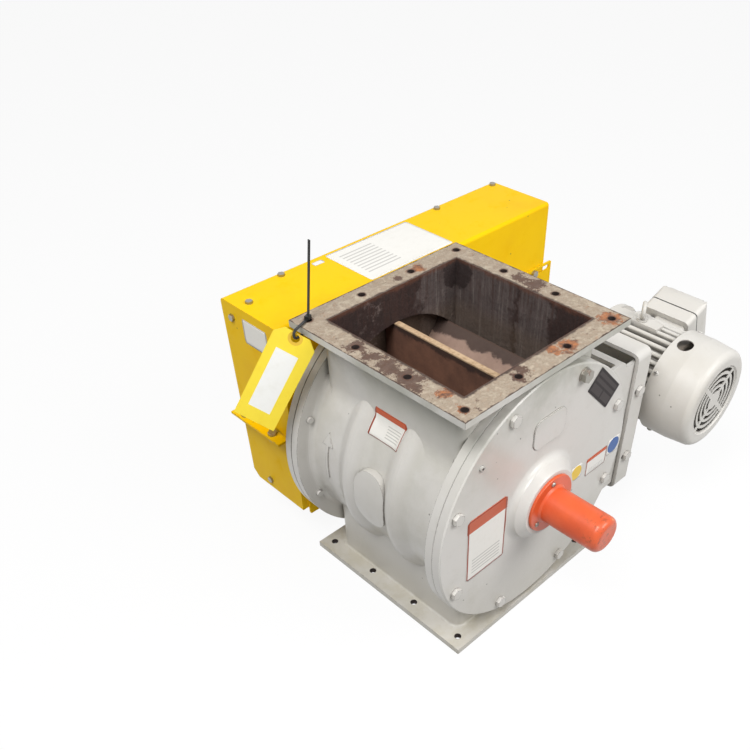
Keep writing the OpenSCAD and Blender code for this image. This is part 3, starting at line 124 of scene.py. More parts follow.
class Tree:
    """The node tree of a new material, or of the owner that is given. Its calls take and
    return sockets or plain values, and the surface's place is in metres."""

    def __init__(self, name, owner=None):
        self.material = owner or bpy.data.materials.new(name)
        self.material.use_nodes = True
        self.nodes = self.material.node_tree.nodes
        self.links = self.material.node_tree.links
        self.nodes.clear()
        if owner is None:
            self.place = self.add("ShaderNodeTexCoord").outputs["Object"]

    def add(self, kind, **settings):
        """A new node with its settings."""
        node = self.nodes.new(kind)
        for key, value in settings.items():
            setattr(node, key, value)
        return node

    def feed(self, socket, value):
        """Links another node's socket to this one, or sets it to a plain value."""
        if isinstance(value, bpy.types.NodeSocket):
            self.links.new(value, socket)
        else:
            socket.default_value = value

    def math(self, operation, *values):
        """The result of one sum."""
        node = self.add("ShaderNodeMath", operation=operation)
        for socket, value in zip(node.inputs, values):
            self.feed(socket, value)
        return node.outputs[0]

    def axes(self):
        """The x, y and z of the place on the surface."""
        node = self.add("ShaderNodeSeparateXYZ")
        self.feed(node.inputs[0], self.place)
        return node.outputs[0], node.outputs[1], node.outputs[2]

    def length(self, first, second):
        """Length of a flat vector from its two coordinates."""
        squares = self.math("ADD", self.math("POWER", first, 2.0), self.math("POWER", second, 2.0))
        return self.math("SQRT", squares)

    def from_axis(self, axis_x=0.0, axis_z=AXIS_Z):
        """Distance from a line along y: the rotor's axis, or the one that is given."""
        x, _, z = self.axes()
        return self.length(self.math("SUBTRACT", x, axis_x), self.math("SUBTRACT", z, axis_z))

    def facing(self, direction):
        """How far the surface faces a direction, from -1 to 1."""
        node = self.add("ShaderNodeVectorMath", operation="DOT_PRODUCT")
        self.feed(node.inputs[0], self.add("ShaderNodeNewGeometry").outputs["Normal"])
        self.feed(node.inputs[1], direction)
        return node.outputs["Value"]

    def mapped(self, stretch, shift):
        """The place stretched along the axes and shifted, so that patterns don't coincide."""
        node = self.add("ShaderNodeMapping")
        self.feed(node.inputs["Vector"], self.place)
        self.feed(node.inputs["Scale"], stretch)
        self.feed(node.inputs["Location"], (shift, shift * 0.7, -shift))
        return node.outputs[0]

    def noise(self, size, detail, rough, stretch=(1, 1, 1), shift=0.0):
        """Noise of about 0 to 1 whose blobs are about size metres across."""
        node = self.add("ShaderNodeTexNoise")
        self.feed(node.inputs["Vector"], self.mapped(stretch, shift))
        self.feed(node.inputs["Scale"], 0.5 / size)
        self.feed(node.inputs["Detail"], detail)
        self.feed(node.inputs["Roughness"], rough)
        return node.outputs[0]

    def cells(self, size, shift):
        """Distance to the nearest of scattered points about size metres apart."""
        node = self.add("ShaderNodeTexVoronoi")
        self.feed(node.inputs["Vector"], self.mapped((1, 1, 1), shift))
        self.feed(node.inputs["Scale"], 1 / size)
        return node.outputs["Distance"]

    def step(self, value, low, high):
        """0 below low and 1 above high, with a smooth change between."""
        node = self.add("ShaderNodeMapRange", interpolation_type="SMOOTHSTEP")
        self.feed(node.inputs["Value"], value)
        self.feed(node.inputs["From Min"], low)
        self.feed(node.inputs["From Max"], high)
        return node.outputs[0]

    def scaled(self, value, low, high):
        """A 0 to 1 value spread from low to high."""
        node = self.add("ShaderNodeMapRange", clamp=False)
        self.feed(node.inputs["Value"], value)
        self.feed(node.inputs["To Min"], low)
        self.feed(node.inputs["To Max"], high)
        return node.outputs[0]

    def mix(self, share, first, second):
        """A colour between first and second, which are the node's inputs 6 and 7."""
        node = self.add("ShaderNodeMix", data_type="RGBA")
        self.feed(node.inputs["Factor"], share)
        self.feed(node.inputs[6], first)
        self.feed(node.inputs[7], second)
        return node.outputs[2]

    def cover(self, base, color, mask, share):
        """The base with another colour over it, by a share, where the mask is 1."""
        return self.mix(self.math("MULTIPLY", mask, share), base, color)

    def blend(self, share, first, second):
        """A number between first and second, which are the node's inputs 2 and 3."""
        node = self.add("ShaderNodeMix")
        self.feed(node.inputs["Factor"], share)
        self.feed(node.inputs[2], first)
        self.feed(node.inputs[3], second)
        return node.outputs[0]

    def distance(self, point):
        """Distance of the place from a point."""
        node = self.add("ShaderNodeVectorMath", operation="DISTANCE")
        self.feed(node.inputs[0], self.place)
        self.feed(node.inputs[1], point)
        return node.outputs["Value"]

    def spots(self, places, shift):
        """1 near any of the places, each (x, y, z, radius), with a speckled border."""
        near = self.either(*[self.step(self.distance(place[:3]), place[3] * 1.5, 0.0)
                             for place in places])
        ragged = self.scaled(self.noise(0.007, 8, 0.8, shift=shift), -2.0, 2.0)
        return self.step(self.math("ADD", near, ragged), 0.42, 0.62)

    def lattice(self, value, pitch):
        """Distance to the nearest of places at every odd half of the pitch."""
        share = self.math("SUBTRACT", self.math("FRACT", self.math("DIVIDE", value, pitch)), 0.5)
        return self.math("MULTIPLY", self.math("ABSOLUTE", share), pitch)

    def turned(self, origin, angles):
        """Sets the place to a frame at origin, turned by angles in degrees about x, y and z."""
        node = self.add("ShaderNodeMapping", vector_type="TEXTURE")
        self.feed(node.inputs["Vector"], self.place)
        self.feed(node.inputs["Location"], origin)
        self.feed(node.inputs["Rotation"], [math.radians(angle) for angle in angles])
        self.place = node.outputs[0]

    def inside(self, value, low, high, soft=0.0003):
        """1 where low < value < high."""
        return self.both(self.step(value, low - soft, low + soft),
                         self.step(value, high + soft, high - soft))

    def both(self, *masks):
        """The masks multiplied: 1 where all of them are 1."""
        result = masks[0]
        for mask in masks[1:]:
            result = self.math("MULTIPLY", result, mask)
        return result

    def either(self, *masks):
        """The highest of the masks: 1 where any of them is 1."""
        result = masks[0]
        for mask in masks[1:]:
            result = self.math("MAXIMUM", result, mask)
        return result

    def rounded(self, width):
        """The normals that the surface would have with its edges rounded."""
        node = self.add("ShaderNodeBevel", samples=6)
        self.feed(node.inputs["Radius"], width)
        return node.outputs[0]

    def edges(self, width):
        """1 on sharp edges, where the rounded normals turn away from the surface's own."""
        node = self.add("ShaderNodeVectorMath", operation="DOT_PRODUCT")
        self.feed(node.inputs[0], self.rounded(width))
        self.feed(node.inputs[1], self.add("ShaderNodeNewGeometry").outputs["Normal"])
        return self.step(node.outputs["Value"], 0.97, 0.80)

    def crevices(self, reach):
        """1 in corners and beside whatever stands close to the surface."""
        node = self.add("ShaderNodeAmbientOcclusion", samples=6)
        self.feed(node.inputs["Distance"], reach)
        return self.step(node.outputs["AO"], 0.72, 0.30)

    def finish(self, color, roughness, height, depth, edge=0.0006, **others):
        """Principled surface with bumps of a depth on edges rounded by edge. Other sockets
        are given by name."""
        bump = self.add("ShaderNodeBump")
        self.feed(bump.inputs["Strength"], 1.0)
        self.feed(bump.inputs["Distance"], depth)
        self.feed(bump.inputs["Height"], height)
        if edge:
            self.feed(bump.inputs["Normal"], self.rounded(edge))
        shader = self.add("ShaderNodeBsdfPrincipled")
        self.feed(shader.inputs["Base Color"], color)
        self.feed(shader.inputs["Roughness"], roughness)
        self.feed(shader.inputs["Normal"], bump.outputs[0])
        for name, value in others.items():
            self.feed(shader.inputs[name.replace("_", " ")], value)
        output = self.add("ShaderNodeOutputMaterial")
        self.feed(output.inputs[0], shader.outputs[0])
        return self.material


# ---- finishes ---------------------------------------------------------------

# Height of a paint's bumps in metres.
PAINT_DEPTH = 0.0006


def paint_layers(t, color, dirt, rough, peel, wear):
    """Thick paint: mottled, a little dirty, with orange peel, chipped on its edges, and darkened in
    its crevices by settled dirt and painted shade. Gives the colour, the roughness and the height."""
    cloud = t.step(t.noise(0.09, 5, 0.62), 0.42, 0.72)
    grime = t.step(t.noise(0.016, 6, 0.7, shift=3.1), 0.52, 0.78)
    specks = t.step(t.cells(0.021, shift=1.3), 0.075, 0.045)
    speck_places = t.step(t.noise(0.05, 3, 0.5, shift=7.7), 0.52, 0.60)
    base = t.cover(color, dirt, cloud, 0.35)
    base = t.cover(base, dirt, grime, 0.22)
    # Crevices darken towards the undercoat colour: partly settled dirt, partly painted shade in
    # corners and beside close parts.
    crevice_dirt_and_shade = t.math("MULTIPLY", t.crevices(0.010), t.scaled(grime, 0.6, 0.9))
    base = t.mix(crevice_dirt_and_shade, base, UNDERCOAT_AND_SHADE)
    bare = 1.58 - 0.18 * wear
    worn = t.step(t.math("ADD", t.edges(0.0016), t.noise(0.006, 4, 0.7, shift=5.0)),
                  bare, bare + 0.08)
    chips = t.either(worn, t.math("MULTIPLY", t.both(specks, speck_places), 0.75))
    base = t.mix(chips, base, UNDERCOAT_AND_SHADE)
    skin = t.noise(0.0022, 2, 0.5)
    waves = t.noise(0.012, 3, 0.55, shift=2.0)
    height = t.math("ADD", t.math("MULTIPLY", skin, 0.25 * peel), t.math("MULTIPLY", waves, peel))
    height = t.math("SUBTRACT", height, t.math("MULTIPLY", chips, 0.5))
    return base, t.scaled(grime, rough, rough + 0.22), height


def painted(name, color, dirt, peel, rough=0.42, wear=0.5, **others):
    """Painted metal with nothing special about it."""
    t = Tree(name)
    base, gloss, height = paint_layers(t, color, dirt, rough, peel, wear)
    return t.finish(base, gloss, height, PAINT_DEPTH, **others)


def old_flange_paint(t, square):
    """Cream paint that flakes off the inlet's face, with rust and dirt along its edges.
    Gives the colour and the flakes."""
    flakes = t.step(t.noise(0.0045, 8, 0.78, shift=4.4), 0.42, 0.60)
    face = t.mix(flakes, rgb(170, 152, 133), rgb(190, 175, 155))
    cloud = t.step(t.noise(0.035, 6, 0.7, shift=8.2), 0.50, 0.74)
    face = t.cover(face, rgb(140, 118, 98), cloud, 0.4)
    cream = t.step(t.noise(0.018, 8, 0.8, shift=6.3), 0.56, 0.62)
    face = t.cover(face, rgb(204, 192, 170), cream, 0.6)
    scratches = t.step(t.noise(0.0035, 6, 0.75, stretch=(1, 0.25, 1), shift=9.1), 0.62, 0.70)
    face = t.cover(face, rgb(104, 84, 70), scratches, 0.5)
    rust = t.mix(t.step(t.noise(0.006, 6, 0.7, shift=2.6), 0.38, 0.62), rgb(96, 56, 38),
                 rgb(184, 112, 62))
    face = t.cover(face, rust, t.spots(RUST_SPOTS, 5.1), 0.85)
    brown = t.mix(t.noise(0.005, 6, 0.7, shift=1.6), rgb(52, 33, 28), rgb(108, 76, 62))
    face = t.cover(face, brown, t.spots(BROWN_SPOTS, 2.2), 0.9)
    wander = t.scaled(t.noise(0.008, 6, 0.75, shift=1.9), -0.006, 0.006)
    ragged = t.math("ADD", square, wander)
    lip = t.either(t.step(ragged, OPENING + 0.0055, OPENING + 0.0022),
                   t.step(ragged, FLANGE_HALF - 0.0022, FLANGE_HALF - 0.0006))
    return t.cover(face, rgb(62, 42, 35), lip, 0.9), flakes


def throat_rust(t, x, y, z):
    """Dusty grey patches, brown rust, streaks and a crack down the throat's bare walls.
    Places count along the wall at +y from its middle, and on round the corner at +x."""
    around = t.math("ADD", t.math("SUBTRACT", x, y), OPENING)
    ragged = t.math("ADD", around, t.scaled(t.noise(0.03, 7, 0.7, shift=1.0), -0.05, 0.05))
    dusty = t.either(t.inside(ragged, 0.046, 0.240, 0.006), t.inside(ragged, 0.250, 0.314, 0.004))
    brown = t.mix(t.noise(0.012, 6, 0.7, shift=5.5), rgb(24, 15, 13), rgb(60, 37, 31))
    grey = t.mix(t.noise(0.02, 6, 0.7, shift=6.6), rgb(46, 38, 37), rgb(116, 103, 99))
    inner = t.mix(dusty, brown, grey)
    streaks = t.noise(0.0035, 6, 0.75, stretch=(1, 1, 0.06), shift=2.0)
    upper = t.step(z, HEIGHT - 0.085, HEIGHT - 0.010)
    inner = t.mix(t.both(t.step(streaks, 0.46, 0.64), t.scaled(upper, 0.25, 0.85)), inner,
                  rgb(64, 40, 34))
    pale = t.both(t.step(streaks, 0.46, 0.36), dusty)
    inner = t.cover(inner, rgb(142, 130, 124), pale, 0.45)
    crust = t.both(t.inside(ragged, -0.085, -0.030, 0.008),
                   t.step(t.noise(0.005, 7, 0.8, shift=3.9), 0.52, 0.62))
    inner = t.cover(inner, rgb(126, 110, 104), crust, 0.7)
    corner = t.step(t.distance((OPENING, OPENING, HEIGHT - 0.018)), 0.044, 0.014)
    speckle = t.scaled(t.noise(0.008, 7, 0.75, shift=3.3), -0.8, 0.8)
    blotch = t.step(t.math("ADD", corner, speckle), 0.42, 0.54)
    inner = t.cover(inner, rgb(36, 20, 18), blotch, 0.85)
    rim = t.step(t.math("ADD", z, t.scaled(t.noise(0.01, 5, 0.7, shift=7.0), -0.008, 0.008)),
                 HEIGHT - 0.008, HEIGHT - 0.001)
    inner = t.cover(inner, rgb(118, 72, 50), rim, 0.5)
    low = t.step(z, AXIS_Z + BORE + 0.002, AXIS_Z + BORE - 0.030)
    return t.cover(inner, rgb(110, 92, 72), low, 0.35)


def finned_paint(name, color, dirt):
    """Motor frame: paint with painted shade between the fins."""
    t = Tree(name)
    base, gloss, height = paint_layers(t, color, dirt, 0.42, 0.4, 0.6)
    low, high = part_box("fan_cover")
    middle = (low + high) / 2
    # Painted shade, deeper in the gaps between the fins.
    between = t.step(t.from_axis(middle.x, middle.z), FIN_R - 0.005, FIN_R - 0.012)
    base = t.cover(base, rgb(74, 68, 60), between, 0.7)
    return t.finish(base, gloss, height, PAINT_DEPTH)


def shaded_paint(t, base, z, deep, radius):
    """The casting's paint: darker towards its foot as painted shade, with dirt patches there,
    and darker under the inlet and between the ribs as painted shade and dark reflection.
    """
    # Darker towards the foot: painted shade where the barrel and the inlet overhang the column and
    # the base.
    base = t.cover(base, rgb(184, 179, 166), t.step(z, 0.17, 0.02), 0.45)
    foot = t.both(t.step(z, 0.022, 0.009), t.step(t.noise(0.02, 6, 0.7, shift=6.0), 0.40, 0.66))
    base = t.cover(base, rgb(176, 168, 142), foot, 0.4)
    # Painted shade and dark reflection under the inlet flange.
    shade = t.both(t.step(z, HEIGHT - 0.11, HEIGHT - 0.02), t.step(t.noise(0.05, 5, 0.6), 0.3, 0.6))
    base = t.cover(base, rgb(160, 160, 146), shade, 0.7)
    # Painted shade and dark reflection in the valleys between the ribs.
    rib_valley_shade = t.both(t.step(radius, RIB_R - 0.002, BARREL_R + 0.001),
                  t.step(deep, PLATE_FACE_Y, PLATE_FACE_Y - 0.002),
                  t.step(t.noise(0.04, 5, 0.6, shift=9.5), 0.35, 0.65))
    return t.cover(base, rgb(178, 176, 163), rib_valley_shade, 0.35)


def housing_paint(name, color, dirt):
    """Housing and end plates: paint outside, bare and rusty inside, and bare walls in the flange
    holes darkened to near black as painted shade.
    """
    t = Tree(name)
    base, gloss, height = paint_layers(t, color, dirt, 0.28, 0.6, 1.0)
    x, y, z = t.axes()
    deep = t.math("ABSOLUTE", y)
    square = t.math("MAXIMUM", t.math("ABSOLUTE", x), deep)
    radius = t.from_axis()
    base = shaded_paint(t, base, z, deep, radius)

    face, flakes = old_flange_paint(t, square)
    top = t.both(t.step(z, HEIGHT - 0.0006, HEIGHT - 0.0002),
                 t.step(t.facing((0, 0, 1)), 0.85, 0.95))
    bore = t.both(t.step(radius, BORE + 0.0006, BORE + 0.0002),
                  t.step(deep, PLATE_FACE_Y + 0.0006, PLATE_FACE_Y + 0.0003))
    inside = t.either(t.step(square, OPENING + 0.0006, OPENING + 0.0002), bore)
    base = t.mix(top, base, face)
    base = t.mix(inside, base, throat_rust(t, x, y, z))

    from_hole = t.length(t.lattice(x, HOLE_PITCH), t.lattice(y, HOLE_PITCH))
    flanges = t.either(t.step(z, FLANGE_T + 0.001, FLANGE_T + 0.0005),
                       t.step(z, HEIGHT - FLANGE_T - 0.001, HEIGHT - FLANGE_T - 0.0005))
    frayed = t.math("ADD", from_hole, t.scaled(t.noise(0.004, 6, 0.75, shift=4.9), -0.004, 0.004))
    stain = t.both(t.step(frayed, HOLE_R + 0.0032, HOLE_R + 0.0010), top)
    base = t.cover(base, rgb(92, 60, 46), stain, 0.8)
    # Walls of the flange holes: bare, and near-black brown as painted shade.
    wall = t.both(t.step(from_hole, HOLE_R + 0.0004, HOLE_R + 0.0002), flanges)
    base = t.mix(wall, base, rgb(40, 27, 23))

    bare = t.either(top, inside)
    scale = t.math("ADD", flakes, t.noise(0.004, 5, 0.7, shift=4.0))
    height = t.blend(bare, height, t.math("MULTIPLY", scale, 0.9))
    gloss = t.blend(t.either(bare, wall), gloss, t.scaled(flakes, 0.85, 0.65))
    return t.finish(base, gloss, height, PAINT_DEPTH)


def rotor_iron(name):
    """Vanes: brown iron on one side and dusty beige on the other, darker towards the tips with
    black residue and painted shade. The upright vanes' tips are wiped clean, and the other
    vanes' tips are painted dark as shade."""
    t = Tree(name)
    x, _, _ = t.axes()
    radius = t.from_axis()
    cloud = t.noise(0.04, 6, 0.65)
    fine = t.noise(0.004, 5, 0.7, shift=2.0)
    brown = t.mix(t.step(cloud, 0.35, 0.65), rgb(130, 92, 73), rgb(100, 70, 57))
    dusty = t.mix(t.step(cloud, 0.35, 0.70), rgb(176, 148, 132), rgb(146, 120, 106))
    right = t.step(x, -0.004, 0.004)
    base = t.mix(right, brown, dusty)
    # A dark band short of the tips: partly black residue, partly painted shade under the bore's
    # walls.
    edge = t.math("ADD", radius, t.scaled(t.noise(0.03, 6, 0.7, shift=5.0), -0.024, 0.024))
    edge = t.math("ADD", edge, t.scaled(right, -0.008, 0.004))
    band = t.step(edge, 0.143, 0.149)
    base = t.cover(base, rgb(50, 36, 32), band, 0.85)
    # Tips: worn bright on the upright vanes, and painted dark as shade on the others.
    worn = t.mix(t.step(fine, 0.4, 0.7), rgb(204, 176, 142), rgb(170, 138, 106))
    upright = t.step(t.math("ABSOLUTE", x), 0.030, 0.025)
    tip = t.step(radius, BORE - 0.0035, BORE - 0.0018)
    base = t.mix(tip, base, t.mix(upright, rgb(84, 64, 54), worn))
    return t.finish(base, t.scaled(fine, 0.6, 0.9), t.math("ADD", fine, cloud), 0.0005)


def tag_film(name):
    """Yellow tag with a blank white panel and a worn hole."""
    t = Tree(name)
    t.turned(TAG_HOLE, TAG_TURN)
    x, y, _ = t.axes()
    smudge = t.step(t.noise(0.012, 5, 0.7), 0.45, 0.75)
    base = t.cover(rgb(252, 226, 62), rgb(232, 196, 48), smudge, 0.25)
    panel = t.both(t.inside(x, -0.015, 0.0175), t.inside(y, -0.1195, -0.0235))
    base = t.mix(panel, base, t.cover(rgb(246, 246, 242), rgb(222, 220, 208), smudge, 0.3))
    ring = t.step(t.distance((0, 0, 0)), 0.0105, 0.0100)
    base = t.cover(base, rgb(222, 170, 60), ring, 0.7)
    return t.finish(base, t.scaled(smudge, 0.32, 0.5), t.noise(0.006, 3, 0.5), 0.0002,
                    edge=0.0002)


def etched_plate(name):
    """Dark nameplate with paler blank fields and bright worn edges."""
    t = Tree(name)
    low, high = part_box("nameplate")
    middle = (low + high) / 2 - Vector((0, 0, AXIS_Z))
    t.turned((0, high.y, AXIS_Z), (90, -math.degrees(math.atan2(middle.z, middle.x)), 0))
    x, y, _ = t.axes()
    grain = t.noise(0.004, 5, 0.7)
    base = t.mix(t.step(grain, 0.4, 0.7), rgb(44, 40, 41), rgb(58, 53, 53))
    across = t.math("SUBTRACT", x, math.hypot(middle.x, middle.z))
    fields = [(-0.0155, -0.0035, -0.034, -0.004), (-0.0155, -0.0035, 0.000, 0.034),
              (0.000, 0.006, -0.034, 0.034), (0.0095, 0.0155, -0.034, 0.034)]
    masks = [t.both(t.inside(across, near, far, 0.0002), t.inside(y, left, right, 0.0002))
             for near, far, left, right in fields]
    base = t.cover(base, rgb(84, 78, 78), t.either(*masks), 0.6)
    base = t.mix(t.edges(0.0005), base, rgb(120, 114, 108))
    return t.finish(base, t.scaled(grain, 0.5, 0.65), grain, 0.0001, edge=0.0002,
                    Specular_IOR_Level=0.2)


def label_film(name, ground, band=None, rule=None, print_box=None, disc=None):
    """Sticker drawn in shares of its width and height: a plain band along the top, a thin
    frame, bare grey rules in print_box (left, right, top, bottom, rows), and a plain disc."""
    t = Tree(name)
    t.place = t.add("ShaderNodeUVMap", uv_map="film").outputs[0]
    across, down, _ = t.axes()
    wear = t.noise(0.04, 5, 0.7)
    soil = t.step(wear, 0.45, 0.8)
    base = t.cover(ground, rgb(200, 194, 182), soil, 0.14)
    if band:
        base = t.mix(t.inside(down, 0.0, 0.20, 0.004), base, band)
    if rule:
        outer = t.both(t.inside(across, 0.012, 0.988, 0.004), t.inside(down, 0.010, 0.990, 0.004))
        inner = t.both(t.inside(across, 0.045, 0.955, 0.004), t.inside(down, 0.032, 0.968, 0.004))
        base = t.mix(t.math("SUBTRACT", outer, inner), base, rule)
    if disc:
        base = t.mix(t.step(t.distance((0.5, 0.5, 0.0)), 0.47, 0.455), base, disc)
    if print_box:
        left, right, top, bottom, rows = print_box
        line = t.math("FRACT", t.math("MULTIPLY", t.math("SUBTRACT", down, top),
                                      rows / (bottom - top)))
        rules = t.both(t.inside(line, 0.25, 0.60, 0.08), t.inside(across, left, right, 0.004),
                       t.inside(down, top, bottom, 0.002))
        base = t.cover(base, rgb(120, 118, 114), rules, 0.45)
    return t.finish(base, t.scaled(soil, 0.3, 0.5), wear, 0.0001, edge=0)


def steel(name, color, rust=0.3, rough=0.38):
    """Zinc plated or bare steel with a little rust in places."""
    t = Tree(name)
    fine = t.noise(0.0016, 4, 0.7)
    spots = t.step(t.noise(0.007, 5, 0.7, shift=4.0), 0.62 - 0.2 * rust, 0.78 - 0.2 * rust)
    base = t.mix(fine, color, darker(color, 0.72))
    base = t.cover(base, rgb(120, 74, 44), spots, 0.75)
    gloss = t.scaled(spots, rough, 0.8)
    metal = t.scaled(spots, 1.0, 0.1)
    return t.finish(base, gloss, t.math("ADD", fine, spots), 0.0002, edge=0.0003, Metallic=metal)


def plain(name, color, rough):
    """A moulded or rubbery surface with slight variation and a fine grain."""
    t = Tree(name)
    cloud = t.noise(0.03, 4, 0.6)
    grain = t.noise(0.003, 3, 0.6, shift=2.5)
    base = t.mix(t.step(cloud, 0.35, 0.75), color, darker(color, 0.76))
    return t.finish(base, t.scaled(cloud, rough - 0.06, rough + 0.10), grain, 0.0003)


def cover_plastic(name):
    """Orange moulding, scuffed towards its closed end, with pale rubs there that are partly wear
    and partly painted highlights.
    """
    t = Tree(name)
    _, y, _ = t.axes()
    end_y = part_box("shaft_cover")[0].y
    cloud = t.step(t.noise(0.03, 4, 0.6), 0.35, 0.75)
    base = t.mix(cloud, rgb(226, 98, 52), rgb(210, 84, 44))
    near_end = t.step(y, end_y + 0.045, end_y + 0.005)
    scuffs = t.both(near_end, t.step(t.noise(0.006, 7, 0.8, shift=3.0), 0.52, 0.62))
    base = t.cover(base, rgb(160, 74, 40), scuffs, 0.8)
    # Pale rubs near the end: partly wear, partly painted highlights.
    rubs_and_highlights = t.both(near_end, t.step(t.noise(0.004, 6, 0.75, stretch=(1, 0.3, 1)), 0.60, 0.66))
    base = t.cover(base, rgb(250, 176, 110), rubs_and_highlights, 0.7)
    rim = t.both(t.edges(0.004), near_end)
    base = t.cover(base, rgb(250, 170, 96), rim, 0.35)
    grain = t.noise(0.004, 3, 0.6, shift=2.5)
    return t.finish(base, t.scaled(cloud, 0.28, 0.42), grain, 0.00015)


# The finish of each material slot.
FINISHES = {
    "cast_paint": housing_paint("cast_paint", BODY, BODY_DIRT),
    "bolt_paint": painted("bolt_paint", BODY, BODY_DIRT, peel=0.2, wear=1.4),
    "bare_steel": steel("bare_steel", rgb(176, 172, 164)),
    "worn_bolt": steel("worn_bolt", rgb(150, 110, 80), rust=1.0, rough=0.5),
    "seal_rubber": plain("seal_rubber", rgb(34, 33, 32), 0.6),
    "gasket_rubber": plain("gasket_rubber", rgb(24, 24, 24), 0.55),
    "bearing_steel": steel("bearing_steel", rgb(200, 200, 202), rust=0.0, rough=0.18),
    "cage_brass": steel("cage_brass", rgb(196, 160, 88), rust=0.0, rough=0.3),
    "spring_steel": steel("spring_steel", rgb(78, 78, 82), rust=0.1, rough=0.4),
    "cover_plastic": cover_plastic("cover_plastic"),
    "nameplate_metal": etched_plate("nameplate_metal"),
    "shaft_steel": steel("shaft_steel", rgb(178, 178, 178), rust=0.2, rough=0.25),
    "rotor_iron": rotor_iron("rotor_iron"),
    "sprocket_steel": steel("sprocket_steel", rgb(96, 92, 88), rust=0.2, rough=0.35),
    "chain_steel": steel("chain_steel", rgb(84, 79, 74), rust=0.3, rough=0.35),
    "guard_paint": painted("guard_paint", YELLOW, YELLOW_DIRT, rough=0.45, peel=0.25, wear=0.3,
                           Specular_IOR_Level=0.15),
    "bracket_paint": painted("bracket_paint", BODY, BODY_DIRT, peel=0.3),
    "motor_paint": painted("motor_paint", MOTOR, MOTOR_DIRT, peel=0.4),
    "fan_cover_paint": painted("fan_cover_paint", MOTOR, MOTOR_DIRT, peel=0.25, wear=1.2),
    "stator_steel": steel("stator_steel", rgb(120, 96, 80), rust=0.3, rough=0.5),
    "fan_plastic": plain("fan_plastic", rgb(40, 40, 40), 0.5),
    "tag_plastic": tag_film("tag_plastic"),
    "tie_plastic": plain("tie_plastic", rgb(22, 22, 22), 0.4),
}

# The nodes that don't look like the others of their slot.
OWN_FINISHES = {
    "motor_frame": finned_paint("finned_paint", MOTOR, MOTOR_DIRT),
    # The end bell, seen through the fan cover's holes, is painted dark grey-brown as shade.
    "motor_end_bell": painted("bell_shade_paint", rgb(120, 112, 102), rgb(80, 70, 62), peel=0.4),
}


def dress_nodes():
    """Gives every CAD node its own finish, or that of its material slot."""
    for part in frame["record"]["subparts"]:
        materials = NODES[part["node"]].data.materials
        materials.clear()
        materials.append(OWN_FINISHES.get(part["node"], FINISHES[part["material_slot"]]))


# ---- labels -----------------------------------------------------------------

BAND_FILM = label_film("band_film", WHITE, ORANGE, LABEL_RULE, (0.14, 0.86, 0.66, 0.92, 5))
BARREL_FILM = label_film("barrel_film", WHITE, ORANGE, LABEL_RULE, (0.46, 0.88, 0.36, 0.86, 5))
GUIDE_FILM = label_film("guide_film", WHITE, print_box=(0.08, 0.46, 0.14, 0.84, 9))
PLAIN_FILM = label_film("plain_film", WHITE, rule=rgb(150, 148, 140))
BLUE_FILM = label_film("blue_film", WHITE, disc=rgb(16, 84, 158))
AMBER_FILM = label_film("amber_film", WHITE, disc=rgb(240, 200, 40))


def label(name, node, middle, across, down, size, film, corner=0.002):
    """A thin sticker with rounded corners, laid on a CAD node. It is thrown onto it from
    middle, along the direction square to across and down."""
    across = Vector(across).normalized()
    down = Vector(down).normalized()
    towards = across.cross(down).normalized()
    width, height = size
    surface = BVHTree.FromPolygons([v.co for v in NODES[node].data.vertices],
                                   [p.vertices for p in NODES[node].data.polygons])
    columns = max(2, round(width / LABEL_CELL))
    rows = max(8, round(height / LABEL_CELL))   # enough for the corners to look round
    mesh = bmesh.new()
    film_map = mesh.loops.layers.uv.new("film")
    grid = []
    for row in range(rows + 1):
        v = row / rows * height
        into_corner = max(0.0, corner - min(v, height - v))
        shrink = corner - math.sqrt(corner ** 2 - into_corner ** 2)
        line = []
        for column in range(columns + 1):
            u = shrink + column / columns * (width - 2 * shrink)
            start = Vector(middle) + across * (u - width / 2) + down * (v - height / 2)
            hit = surface.ray_cast(start, towards)[0]
            line.append((mesh.verts.new(hit - towards * LABEL_LIFT), u / width, v / height))
        grid.append(line)
    for upper, lower in zip(grid, grid[1:]):
        for column in range(columns):
            ring = [upper[column], lower[column], lower[column + 1], upper[column + 1]]
            face = mesh.faces.new([vertex for vertex, _, _ in ring])
            face.smooth = True
            for loop, (_, u, v) in zip(face.loops, ring):
                loop[film_map].uv = (u, v)
    data = bpy.data.meshes.new(name)
    mesh.to_mesh(data)
    mesh.free()
    data.materials.append(film)
    piece = bpy.data.objects.new(name, data)
    bpy.context.scene.collection.objects.link(piece)
    thick = piece.modifiers.new("thickness", "SOLIDIFY")
    thick.thickness = LABEL_T
    thick.offset = 0
    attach(piece, "valve")


def make_plate_labels():
    """The four stickers across the outboard end plate."""
    start_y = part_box("end_plate_outboard")[0].y - 0.01
    for name, x, z, size, film, corner in (
            ("label_plate", -0.112, 0.210, (0.080, 0.118), BAND_FILM, 0.006),
            ("label_amber", 0.090, 0.208, (0.028, 0.028), AMBER_FILM, 0.002),
            ("label_band", 0.141, 0.201, (0.052, 0.034), BAND_FILM, 0.002),
            ("label_blue", 0.184, 0.209, (0.031, 0.031), BLUE_FILM, 0.002)):
        label(name, "end_plate_outboard", (x, start_y, z), (1, 0, 0), (0, 0, -1), size, film,
              corner)


def make_barrel_label():
    """The sticker on the barrel, reading along it."""
    slant = math.radians(142)
    start_r = 0.21
    outward = Vector((math.cos(slant), 0, math.sin(slant)))
    along = Vector((0, -1, 0))
    label("label_barrel", "housing", Vector((0, -0.003, AXIS_Z)) + outward * start_r, along,
          -outward.cross(along), (0.063, 0.041), BARREL_FILM)


